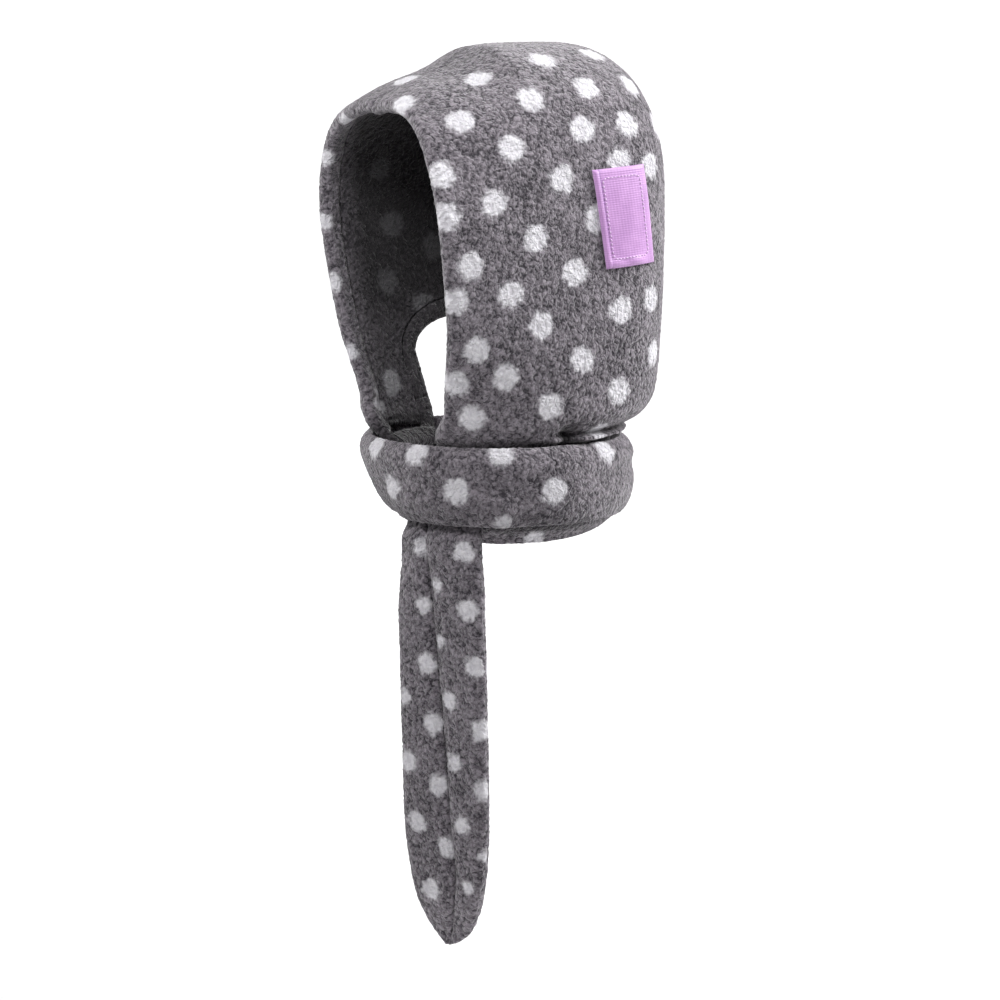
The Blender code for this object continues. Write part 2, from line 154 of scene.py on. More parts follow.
tail = {
    "angle": math.radians(36.5),
    "facing": math.radians(26),
    "width": 56.0 * mm,
    "thickness": 10.0 * mm,
    "tipDrop": 526.0 * mm,
    "tuck": 11.0 * mm,
    "swell": 6.0 * mm,
    "lapGap": 0.4 * mm,
    # share of the length, half widths left and right, and the seam from the left edge
    "shape": (
        (0.00, 0.66, 0.39, 0.36),
        (0.10, 0.63, 0.39, 0.38),
        (0.22, 0.57, 0.46, 0.42),
        (0.38, 0.54, 0.50, 0.46),
        (0.65, 0.51, 0.52, 0.56),
        (0.73, 0.49, 0.52, 0.58),
        (0.82, 0.44, 0.49, 0.63),
        (0.89, 0.36, 0.44, 0.62),
        (0.93, 0.28, 0.37, 0.59),
        (0.965, 0.18, 0.28, 0.55),
        (0.99, 0.08, 0.15, 0.50),
        (1.00, 0.02, 0.05, 0.50),
    ),
}


# small helpers

def linearColour(hexText):
    values = [int(hexText[i:i + 2], 16) / 255 for i in (1, 3, 5)]
    turned = [v / 12.92 if v <= 0.04045 else ((v + 0.055) / 1.055) ** 2.4 for v in values]
    return (*turned, 1.0)


def addNode(tree, kind, inputs=None):
    # settings by name, inputs by name or number; a node or a socket given as a value is linked
    node = tree.nodes.new(kind)
    for key, value in (inputs or {}).items():
        if isinstance(value, bpy.types.Node):
            value = value.outputs[0]
        if isinstance(value, bpy.types.NodeSocket):
            tree.links.new(value, node.inputs[key])
        elif isinstance(key, str) and hasattr(node, key):
            setattr(node, key, value)
        else:
            node.inputs[key].default_value = value
    return node


def easeBetween(low, high, value):
    t = np.clip((value - low) / (high - low), 0.0, 1.0)
    return t * t * (3 - 2 * t)


def bumpAt(angle, middle, spread):
    turn = (angle - middle + math.pi) % (2 * math.pi) - math.pi
    return np.exp(-((turn / spread) ** 2))


def tableColumn(table, place, index):
    # one column of a table between its rows, without overshoot
    rows = np.array(table)
    places, values = rows[:, 0], rows[:, index]
    place = np.clip(place, places[0], places[-1])
    k = np.clip(np.searchsorted(places, place, side="right") - 1, 0, len(places) - 2)
    before = np.maximum(np.arange(len(places)) - 1, 0)
    after = np.minimum(np.arange(len(places)) + 1, len(places) - 1)
    slopes = (values[after] - values[before]) / (places[after] - places[before])
    step = places[k + 1] - places[k]
    t = (place - places[k]) / step
    value = values[k] + (values[k + 1] - values[k]) * t * t * (3 - 2 * t)
    value += t * (1 - t) ** 2 * step * slopes[k] - t * t * (1 - t) * step * slopes[k + 1]
    low = np.minimum(values[k], values[k + 1])
    high = np.maximum(values[k], values[k + 1])
    return np.clip(value, low, high)


def resampleLine(line, count):
    steps = np.linalg.norm(np.diff(line, axis=0), axis=1)
    along = np.concatenate([[0.0], np.cumsum(steps)])
    wanted = np.linspace(0.0, along[-1], count + 1)
    return np.stack([np.interp(wanted, along, line[:, i]) for i in range(3)], axis=1)


# the hood's shape

def hoodLevel(x, y, z):
    # under 1 inside the hood's outer skin, 1 on it
    h = hood
    droop = easeBetween(-1.6 * h["crownDepth"], -0.7 * h["crownDepth"], z)
    raised = z + droop * h["droop"] * np.maximum(h["levelFromY"] - y, 0.0)
    power = h["roundness"]
    reach = np.where(y < h["middleY"], h["frontReach"], h["backReach"])
    above = np.maximum(raised / h["crownDepth"] + 1, 0.0)
    crown = np.abs(x / h["halfWidth"]) ** power + np.abs((y - h["middleY"]) / reach) ** power
    crown += above ** power
    down = (-h["crownDepth"] - raised) / (neck["drop"] - h["crownDepth"])
    side, front, back = (tableColumn(h["narrowing"], down, i) for i in (1, 2, 3))
    middle = h["middleY"] + (neck["y"] - h["middleY"]) * back
    half = h["halfWidth"] + (neck["radius"] - h["halfWidth"]) * side
    reachFront = h["frontReach"] + (neck["radius"] - h["frontReach"]) * front
    reachBack = h["backReach"] + (neck["radius"] - h["backReach"]) * back
    reach = np.where(y < middle, reachFront, reachBack)
    power = h["roundness"] + (2 - h["roundness"]) * front
    body = np.abs(x / half) ** power + np.abs((y - middle) / reach) ** power
    return np.where(raised > -h["crownDepth"], crown, body)


def reachSkin(start, direction, far):
    start, direction = np.broadcast_arrays(np.asarray(start, float), np.asarray(direction, float))
    low = np.zeros(start.shape[:-1])
    high = np.full(start.shape[:-1], float(far))
    for _ in range(32):
        mid = (low + high) / 2
        p = start + mid[..., None] * direction
        inside = hoodLevel(p[..., 0], p[..., 1], p[..., 2]) < 1
        low = np.where(inside, mid, low)
        high = np.where(inside, high, mid)
    return start + low[..., None] * direction


def halfWidth(y, z):
    start = np.stack([np.zeros_like(y), y, z], axis=-1)
    return reachSkin(start, (1.0, 0.0, 0.0), 2 * hood["halfWidth"])[..., 0]


def centreLine():
    up = (0.0, -hood["rimLean"], 1.0)
    brim = reachSkin((0.0, hood["rimFootY"], -hood["collarDrop"]), up, 0.462)
    heart = np.array([0.0, 0.0, -hood["crownDepth"]])
    foot = reachSkin((0.0, 0.0, -hood["collarDrop"]), (0.0, 1.0, 0.0), 0.135)
    first = math.atan2(brim[1], brim[2] - heart[2])
    last = math.atan2(foot[1], foot[2] - heart[2])
    turn = first + (last - first) * np.arange(1, 240) / 240
    aim = np.stack([np.zeros_like(turn), np.sin(turn), np.cos(turn)], axis=1)
    return np.concatenate([[brim], reachSkin(heart, aim, 0.924), [foot]])


def bandRadiusAt(angle, drop):
    toward = (0.5 + 0.5 * np.cos(angle - neck["taperToward"])) ** 1.5
    low = (drop - neck["bandTop"] - 0.15 * neck["bandHeight"]) / (0.8 * neck["bandHeight"])
    return neck["bandRadius"] - neck["taper"] * toward * np.maximum(low, 0.0) ** 1.3


def neckPoint(angle, radius, drop):
    x = radius * np.sin(angle)
    y = neck["y"] - radius * np.cos(angle)
    return np.stack(np.broadcast_arrays(x, y, -drop), axis=-1)


def collarPoint(angle, drop):
    nape = easeBetween(math.radians(70), math.radians(100), np.abs(angle))
    tuckFrom = neck["bandTop"] + neck["tuckDrop"]
    roll = hood["napeRollHeight"]
    if drop < neck["drop"]:
        aim = np.stack([np.sin(angle), -np.cos(angle), np.zeros_like(angle)], axis=-1)
        p = reachSkin((0.0, neck["y"], -drop), aim, 3 * hood["halfWidth"])
        radius = np.hypot(p[..., 0], p[..., 1] - neck["y"])
        above = (drop - neck["bandTop"] + roll) / (0.4 * roll)
        deep = 0.5 + 0.4 * bumpAt(np.abs(angle), math.radians(118), math.radians(20))
        radius = radius - deep * hood["fleece"] * nape * math.exp(-above * above)
    else:
        tucked = easeBetween(tuckFrom, tuckFrom + neck["tuckHeight"], drop)
        radius = bandRadiusAt(angle, drop) - neck["thickness"] - neck["seatGap"]
        radius = radius - (neck["thickness"] + neck["seatGap"]) * tucked
    # at the nape a soft roll of cloth sits on the scarf's upper edge
    swell = (drop - neck["bandTop"] + roll / 2) / (roll / 3)
    radius = radius + hood["napeSwell"] * nape * math.exp(-swell * swell)
    radius = radius - leanAt(angle) * easeBetween(neck["bandTop"] - 7 * mm, neck["bandTop"], drop)
    return neckPoint(angle, radius - hood["foldDepth"] * nearFold(angle, drop), drop)


def leanAt(angle):
    # the scarf's upper edge leans in to the neck, most at the nape
    return neck["lean"] * (1 + 1.3 * bumpAt(np.abs(angle), neck["nape"], math.radians(42)))


def nearFold(angle, drop):
    # the short upright fold on the near side, just above the scarf
    across = bumpAt(angle, hood["nearFoldAngle"], math.radians(4.5))
    return across * easeBetween(hood["collarDrop"], hood["collarDrop"] + 15 * mm, drop)


def settleCrown(points):
    settled = points.copy()
    high = easeBetween(-60 * mm, -8 * mm, points[:, 2])
    for place, spread, depth in hood["crownSinks"]:
        settled[:, 2] -= depth * high * np.exp(-(((points[:, 1] - place) / spread) ** 2))
    return settled


def gapOutline():
    # the side gap seen from the side: (y, z) round an arch that is open below
    h = hood
    front, back = h["gapFrontY"], h["gapFrontY"] + h["gapWidth"]
    archHeight = 0.36 * h["gapWidth"]
    shoulder = h["gapTopDrop"] + archHeight
    turn = np.linspace(0.0, math.pi, 25)
    top = np.stack([(front + back) / 2 - h["gapWidth"] / 2 * np.cos(turn),
                    -shoulder + archHeight * np.sin(turn)], axis=1)
    start = [(front + h["gapLean"], -0.30), (front + 0.8 * h["gapLean"], h["gapLean"] - neck["bandTop"])]
    return np.concatenate([start, top, [(back - 0.4 * h["gapLean"], -0.30)]])


def gapDistance(points):
    # over 0 outside the side gap, under 0 in it
    line = gapOutline()
    p = points[:, 1:]
    best = np.full(len(p), np.inf)
    crossed = np.zeros(len(p), bool)
    for a, b in zip(line, np.roll(line, -1, axis=0)):
        t = np.clip(((p - a) @ (b - a)) / ((b - a) @ (b - a)), 0, 1)
        best = np.minimum(best, np.linalg.norm(p - a - t[:, None] * (b - a), axis=1))
        spans = (a[1] > p[:, 1]) != (b[1] > p[:, 1])
        rise = b[1] - a[1] if b[1] != a[1] else 1.0
        crossed ^= spans & (p[:, 0] < (b[0] - a[0]) * (p[:, 1] - a[1]) / rise + a[0])
    distance = np.where(crossed, -best, best)
    return np.where(points[:, 0] < -10 * mm, distance, 1.0)


def gridQuads(index):
    corners = [index[:-1, :-1], index[:-1, 1:], index[1:, 1:], index[1:, :-1]]
    return np.stack(corners, axis=-1).reshape(-1, 4)


def hoodSheet(fanCount, archCount, collarDrops, rimInset, gapInset):
    # the hood's outer skin as points and quads: a fan of arches on a collar of level rows
    h = hood
    tops = resampleLine(centreLine(), fanCount)
    share = np.arange(fanCount + 1) / fanCount
    footY = h["rimFootY"] + (h["cornerY"] - h["rimFootY"]) * share
    bow = h["rimBow"] * (1 - share) ** 4
    up = np.sin(np.pi / 2 * np.linspace(0, 1, 121))
    y = footY[:, None] + (tops[:, 1] - footY)[:, None] * up - bow[:, None] * np.sin(np.pi * up)
    z = -h["collarDrop"] + (tops[:, 2] + h["collarDrop"])[:, None] * up
    x = halfWidth(y, z)
    x[:, -1] = 0.0
    half = np.array([resampleLine(np.stack([x[j], y[j], z[j]], axis=1), archCount // 2)
                     for j in range(fanCount + 1)])
    grid = np.concatenate([half[:, :-1] * [-1, 1, 1], half[:, ::-1]], axis=1)
    for k in range(grid.shape[1]):
        line = grid[:, k]
        steps = np.linalg.norm(np.diff(line, axis=0), axis=1)
        along = np.concatenate([[0.0], np.cumsum(steps)])
        acrossShare = k / (grid.shape[1] - 1)
        near = easeBetween(0.35, 0.7, acrossShare) * easeBetween(*h["nearInsetEnds"], line[0, 2])
        brow = math.exp(-(((acrossShare - h["browAt"]) / h["browSpread"]) ** 2))
        inset = rimInset + h["nearRimInset"] * near + h["browInset"] * brow
        wanted = inset + along * (1 - inset / along[-1])
        grid[:, k] = np.stack([np.interp(wanted, along, line[:, i]) for i in range(3)], axis=1)
    index = np.arange(grid.shape[0] * grid.shape[1]).reshape(grid.shape[:2])
    quads = [gridQuads(index)]
    edge = np.concatenate([index[:-1, 0], index[-1], index[-2::-1, -1]])
    points = [grid.reshape(-1, 3)]
    feet = points[0][edge]
    angles = np.arctan2(feet[:, 0], neck["y"] - feet[:, 1])
    above, count = edge, index.size
    # the flaps fall straight and draw in only where the scarf grips them
    front = 1 - easeBetween(math.radians(50), math.radians(90), np.abs(angles))
    footRadius = np.hypot(feet[:, 0], feet[:, 1] - neck["y"])
    for drop in collarDrops:
        below = count + np.arange(len(edge))
        share = (drop - h["collarDrop"]) / (neck["bandTop"] - h["collarDrop"])
        turned = angles * (1 - h["rimForward"] * front * easeBetween(0, 1, share))
        drawnIn = collarPoint(turned, drop)
        gripRadius = neck["bandRadius"] - neck["thickness"] / 2 - neck["lean"]
        straight = neckPoint(turned, footRadius + (gripRadius - footRadius) * min(share, 1.0) ** 2, drop)
        hold = (front * (1 - easeBetween(1.0, 1.25, share)))[:, None]
        points.append(drawnIn + (straight - drawnIn) * hold)
        quads.append(np.stack([above[:-1], above[1:], below[1:], below[:-1]], axis=-1))
        above, count = below, count + len(edge)
    points, quads = settleCrown(np.concatenate(points)), np.concatenate(quads)
    return cutSheet(points, quads, gapDistance(points) - gapInset)


def cutSheet(points, quads, level):
    # takes out the quads inside the level and draws the edge in onto it
    inside = level < 0
    count = inside[quads].sum(axis=1)
    best = {}
    moved = points.copy()
    for quad in quads[(count > 0) & (count < 4)]:
        for i in quad[inside[quad]]:
            for o in quad[~inside[quad]]:
                step = (points[o] - points[i]) * level[i] / (level[i] - level[o])
                size = np.linalg.norm(step)
                if size < best.get(i, np.inf):
                    best[i] = size
                    moved[i] = points[i] + step
    quads = quads[count < 4]
    used = np.unique(quads)
    renumber = np.zeros(len(points), int)
    renumber[used] = np.arange(len(used))
    return moved[used], renumber[quads]


def pointNormals(points, faces):
    a, b, c, d = (points[faces[:, i]] for i in (0, 1, 2, 3))
    across = np.cross(c - a, d - b)
    total = np.zeros_like(points)
    for i in range(4):
        np.add.at(total, faces[:, i], across)
    return total / np.maximum(np.linalg.norm(total, axis=1, keepdims=True), 1e-12)


def boundaryLoop(quads, start, points):
    # the open edge in order, with the sheet on its left, from the point nearest to start
    size = quads.max() + 1
    a = quads.ravel()
    b = np.roll(quads, -1, axis=1).ravel()
    lone = ~np.isin(a * size + b, b * size + a)
    follow = dict(zip(a[lone].tolist(), b[lone].tolist()))
    keys = np.array(list(follow))
    first = int(keys[np.argmin(np.linalg.norm(points[keys] - start, axis=1))])
    loop = [first]
    while follow[loop[-1]] != first:
        loop.append(follow[loop[-1]])
    return np.array(loop)


def zipLoops(outer, inner, pointsOuter, pointsInner):
    # triangles between two loops that run the same way
    n, m = len(outer), len(inner)
    reach = [int(np.argmin(np.linalg.norm(pointsOuter - p, axis=1))) for p in pointsInner]
    reach[0] = 0
    for j in range(1, m):
        ahead = reach[j] - reach[j - 1]
        if ahead < 0 or ahead > n // 3:
            reach[j] = reach[j - 1]
    reach.append(n)
    faces, i, j = [], 0, 0
    while i < n or j < m:
        if j < m and (i >= n or reach[j + 1] <= i):
            faces.append((inner[j % m], inner[(j + 1) % m], outer[i % n]))
            j += 1
        else:
            faces.append((outer[(i + 1) % n], outer[i % n], inner[j % m]))
            i += 1
    return faces


def smoothLoop(values, rounds):
    for _ in range(rounds):
        values = (np.roll(values, 1, axis=0) + 2 * values + np.roll(values, -1, axis=0)) / 4
    return values / np.maximum(np.linalg.norm(values, axis=1, keepdims=True), 1e-12)


# meshes

def makeMesh(name, points, faces, **fields):
    # fields are numbers kept for each point, such as how much pile it carries
    mesh = bpy.data.meshes.new(name)
    placed = (points + [0.0, 0.0, hood["wall"]]).tolist()
    mesh.from_pydata(placed, [], [tuple(map(int, f)) for f in faces])
    mesh.validate()
    mesh.update()
    mesh.shade_smooth()
    for field, values in fields.items():
        held = mesh.attributes.new(field, "FLOAT", "POINT")
        held.data.foreach_set("value", np.ascontiguousarray(values, np.float32))
    obj = bpy.data.objects.new(name, mesh)
    bpy.context.scene.collection.objects.link(obj)
    return obj


dotRoom = {
    "fromSeenCloth": 10.0 * mm,
    "fromPicked": 24.0 * mm,
    "betweenHalves": 25.0 * mm,
    "offCloth": 4.0 * mm,
    "beyondEdge": 20.0 * mm,
}


def dotPlaces(flat, points, normals, picked, lay, wrapAt=None):
    # the dots' middles on the flat cloth: those listed as places in the picture, and a grid where it
    # shows no cloth
    seen = pictureAt(points)
    facing = ((viewEye - points - [0.0, 0.0, hood["wall"]]) * normals).sum(axis=1) > 0
    facingIndex = np.nonzero(facing)[0]
    found, sizes = [], []
    for across, down, *size in picked:
        gap = np.linalg.norm(seen[facingIndex] - (across, down), axis=1)
        found.append(flat[facingIndex[np.argmin(gap)]])
        sizes.append(size[0] if size else 1.0)
    found = np.array(found).reshape(-1, 2)
    margin = 0.0 if wrapAt else dotRoom["beyondEdge"]
    low, high = flat.min(axis=0) - margin, flat.max(axis=0) + margin
    turns = np.array([[0, 0], [wrapAt or 0, 0], [-(wrapAt or 0), 0]])
    stepA, stepB = np.array(lay["stepA"]), np.array(lay["stepB"])
    start = found[0] if len(found) else np.array(lay.get("start", (0.0, 0.0)))

    def clear(places, spot, key):
        return all(np.linalg.norm(places - spot - turn, axis=1).min() >= dotRoom[key] for turn in turns)

    rest = []
    for i in range(-40, 41):
        for j in range(-40, 41):
            spot = start + i * stepA + j * stepB
            if (spot < low).any() or (spot > high).any():
                continue
            if not len(found) or (clear(flat[facing], spot, "fromSeenCloth")
                                  and clear(found, spot, "fromPicked")):
                rest.append(spot)
    middles = np.concatenate([found, np.array(rest).reshape(-1, 2)])
    middles = np.column_stack([middles, sizes + [1.0] * len(rest)])
    if wrapAt:
        middles = np.concatenate([middles, middles + [wrapAt, 0, 0], middles - [wrapAt, 0, 0]])
    return middles


def dotSpots(flat, points, middles):
    # dots' middles on the flat cloth, as rows of a point in space and a size
    rows = []
    for middle in middles:
        gap = np.linalg.norm(flat - middle[:2], axis=1)
        if gap.min() < dotRoom["offCloth"]:
            rows.append((*points[np.argmin(gap)], middle[2]))
    return np.array(rows)


def dotDistance(places, middles, size=1.0):
    # how far each place is from the nearest dot's middle, changed so that every dot has the same radius
    best = np.full(len(places), 1.0)
    for middle in middles:
        away = np.linalg.norm(places - middle[:-1], axis=1)
        best = np.minimum(best, away + (1 - size * middle[-1]) * fleeceLook["dotRadius"])
    return best


class SideMap:
    # flattens each side of the hood from its middle outward, so that the print keeps its size
    around, steps = 180, 120

    def __init__(self, centreY, centreDrop):
        self.y, self.z = centreY, -centreDrop
        turns = np.linspace(-math.pi, math.pi, self.around + 1)
        shares = np.sin(np.pi / 2 * np.linspace(0, 1, self.steps + 1))
        aim = np.stack([0 * turns, np.cos(turns), np.sin(turns)], axis=1)
        start = np.array([0.0, self.y, self.z])
        rims = reachSkin(start, aim, 0.40)
        self.far = np.linalg.norm(rims - start, axis=1)
        down = np.where(aim[:, 2] < -1e-6, (-0.27 - self.z) / np.minimum(aim[:, 2], -1e-6), np.inf)
        self.far = np.minimum(self.far, down)
        rho = self.far[:, None] * shares
        y = self.y + rho * aim[:, 1:2]
        z = self.z + rho * aim[:, 2:3]
        lengths = np.hypot(np.diff(rho, axis=1), np.diff(halfWidth(y, z), axis=1))
        self.along = np.cumsum(np.concatenate([np.zeros((len(lengths), 1)), lengths], axis=1), axis=1)

    def flatten(self, points):
        dy, dz = points[:, 1] - self.y, points[:, 2] - self.z
        rho, turn = np.hypot(dy, dz), np.arctan2(dz, dy)
        i = (turn + math.pi) / (2 * math.pi) * self.around
        low = np.clip(i.astype(int), 0, self.around - 1)
        part = i - low
        far = self.far[low] * (1 - part) + self.far[low + 1] * part
        share = np.clip(rho / far, 0, 1)
        beyond = np.maximum(rho - far, 0)
        j = np.arcsin(share) / (np.pi / 2) * self.steps
        col = np.clip(j.astype(int), 0, self.steps - 1)
        tip = j - col
        a = self.along
        here = (a[low, col] * (1 - tip) + a[low, col + 1] * tip) * (1 - part)
        here = here + (a[low + 1, col] * (1 - tip) + a[low + 1, col + 1] * tip) * part + beyond
        return np.stack([here * np.cos(turn), here * np.sin(turn)], axis=1)


# the fleece's pile, as a Geometry Nodes tree

pile = {
    "tuftSize": 2.7 * mm,
    "tuftHeight": 0.7 * mm,
    "swirl": 3.0 * mm,
    "curlSize": 2.6 * mm,
    "curlTwist": 1.1,
    "curlShare": 0.6,
    "puckerSize": 34.0 * mm,
    "puckerDepth": 1.6 * mm,
    "seed": 11.0,
}


def pilePattern(tree, place, tuftRate, swirlRate, curlRate, swirl, seed):
    # tufts as a cell pattern, swirled so that no cell is straight-sided, with finer curls mixed in
    noise = addNode(tree, "ShaderNodeTexNoise", {
        "noise_dimensions": "4D", "Detail": 1.0, "Vector": place, "Scale": swirlRate, "W": seed,
    })
    centred = addNode(tree, "ShaderNodeVectorMath", {
        "operation": "SUBTRACT", 0: noise.outputs["Color"], 1: (0.5, 0.5, 0.5),
    })
    pushed = addNode(tree, "ShaderNodeVectorMath", {"operation": "SCALE", 0: centred, "Scale": swirl})
    warped = addNode(tree, "ShaderNodeVectorMath", {"operation": "ADD", 0: place, 1: pushed})
    cell = addNode(tree, "ShaderNodeTexVoronoi", {
        "voronoi_dimensions": "3D", "feature": "F1", "Vector": warped, "Scale": tuftRate,
    })
    dome = addNode(tree, "ShaderNodeMapRange", {
        "interpolation_type": "SMOOTHSTEP", 0: cell, 1: 0.10, 2: 0.80, 3: 1.0, 4: 0.0,
    })
    curl = addNode(tree, "ShaderNodeTexNoise", {
        "Vector": place, "Scale": curlRate, "Detail": 1.5, "Roughness": 0.5,
        "Distortion": pile["curlTwist"],
    })
    curl = addNode(tree, "ShaderNodeMapRange", {0: curl, 1: 0.36, 2: 0.64, 3: 0.0, 4: 1.0})
    return addNode(tree, "ShaderNodeMix", {0: pile["curlShare"], 2: dome, 3: curl}), cell


def treeInputs(tree, **sizes):
    # the tree's named inputs, each size with its value from the piece's dictionary
    tree.interface.new_socket("Geometry", in_out="INPUT", socket_type="NodeSocketGeometry")
    for key, size in sizes.items():
        name = key.replace("_", " ")
        socket = tree.interface.new_socket(name, in_out="INPUT", socket_type="NodeSocketFloat")
        socket.default_value = size
    tree.interface.new_socket("material", in_out="INPUT", socket_type="NodeSocketMaterial")
    tree.interface.new_socket("Geometry", in_out="OUTPUT", socket_type="NodeSocketGeometry")
    return addNode(tree, "NodeGroupInput").outputs


def pileTree():
    tree = bpy.data.node_groups.new("fleece pile", "GeometryNodeTree")
    given = treeInputs(tree, tuft_size=pile["tuftSize"], tuft_height=pile["tuftHeight"],
                       curl_size=pile["curlSize"], swirl=pile["swirl"], pucker_size=pile["puckerSize"],
                       pucker_depth=pile["puckerDepth"], seed=pile["seed"])
    place = addNode(tree, "GeometryNodeInputPosition").outputs[0]
    kept = addNode(tree, "GeometryNodeStoreNamedAttribute", {
        "data_type": "FLOAT_VECTOR", "Name": "clothPoint", "Geometry": given["Geometry"], "Value": place,
    })
    swirlRate = addNode(tree, "ShaderNodeMath", {"operation": "DIVIDE", 0: 0.5, 1: given["tuft size"]})
    tuftRate = addNode(tree, "ShaderNodeMath", {"operation": "DIVIDE", 0: 1.0, 1: given["tuft size"]})
    curlRate = addNode(tree, "ShaderNodeMath", {"operation": "DIVIDE", 0: 1.0, 1: given["curl size"]})
    tuft, _ = pilePattern(tree, place, tuftRate, swirlRate, curlRate, given["swirl"], given["seed"])
    high = addNode(tree, "ShaderNodeMath", {"operation": "MULTIPLY", 0: tuft, 1: given["tuft height"]})
    # slow soft puckers of the cloth under the pile
    slowRate = addNode(tree, "ShaderNodeMath", {"operation": "DIVIDE", 0: 1.0, 1: given["pucker size"]})
    slow = addNode(tree, "ShaderNodeTexNoise", {
        "noise_dimensions": "4D", "Detail": 1.0, "Vector": place, "Scale": slowRate, "W": given["seed"],
    })
    level = addNode(tree, "ShaderNodeMath", {"operation": "SUBTRACT", 1: 0.5, 0: slow})
    wave = addNode(tree, "ShaderNodeMath", {"operation": "MULTIPLY", 0: level, 1: given["pucker depth"]})
    total = addNode(tree, "ShaderNodeMath", {"operation": "ADD", 0: high, 1: wave})
    share = addNode(tree, "GeometryNodeInputNamedAttribute", {"data_type": "FLOAT", "Name": "pileShare"})
    masked = addNode(tree, "ShaderNodeMath", {
        "operation": "MULTIPLY", 0: total, 1: share.outputs["Attribute"],
    })
    normal = addNode(tree, "GeometryNodeInputNormal").outputs[0]
    offset = addNode(tree, "ShaderNodeVectorMath", {"operation": "SCALE", 0: normal, "Scale": masked})
    risen = addNode(tree, "GeometryNodeSetPosition", {"Geometry": kept, "Offset": offset})
    whole = addNode(tree, "GeometryNodeRealizeInstances", {"Geometry": risen})
    dressed = addNode(tree, "GeometryNodeSetMaterial", {"Geometry": whole, "Material": given["material"]})
    addNode(tree, "NodeGroupOutput", {"Geometry": dressed})
    return tree


def runTree(obj, tree, values):
    # runs a Geometry Nodes tree on an object and returns the result as a plain mesh
    modifier = obj.modifiers.new("nodes", "NODES")
    modifier.node_group = tree
    sockets = {item.name: item.identifier for item in tree.interface.items_tree if item.in_out == "INPUT"}
    for name, value in values.items():
        modifier[sockets[name]] = value
    graph = bpy.context.evaluated_depsgraph_get()
    made = bpy.data.meshes.new_from_object(
        obj.evaluated_get(graph), preserve_all_data_layers=True, depsgraph=graph)
    obj.modifiers.remove(modifier)
    made.shade_smooth()
    return made


# materials

def newMaterial(name, **sizes):
    # sizes are the shader's own inputs that stay constant
    made = bpy.data.materials.new(name)
    made.use_nodes = True
    shader = made.node_tree.nodes["Principled BSDF"]
    for key, size in sizes.items():
        shader.inputs[key.replace("_", " ")].default_value = size
    return made, made.node_tree, shader


# Coral fleece: knitted polyester with a sheared, curled pile. It scatters all light, shows no gloss but a
# pale bloom at grazing angles, and its curls are light at the tips, with painted shade
# between them. The dots are printed before the pile is raised, so their edges are soft and ragged.
fleeceLook = {
    # the root colours are painted shade between the tufts, darker than the tips
    "tip": "#989199",
    "root": "#322e35",
    "dotTip": "#eeecf1",
    "dotRoot": "#d2cfd6",
    # near-black painted shadow colour, mixed in where shade falls
    "paintedShadowColour": "#131113",
    "dotRadius": 7.4 * mm,
    "dotEdge": 2.0 * mm,
    "dotJitter": 0.6 * mm,
    "dotWander": 4.0 * mm,
    "dotRagged": 1.3 * mm,
    "fibreSize": 1.1 * mm,
    "patchSize": 26.0 * mm,
    "roughness": 0.92,
    "sheen": 0.45,
}


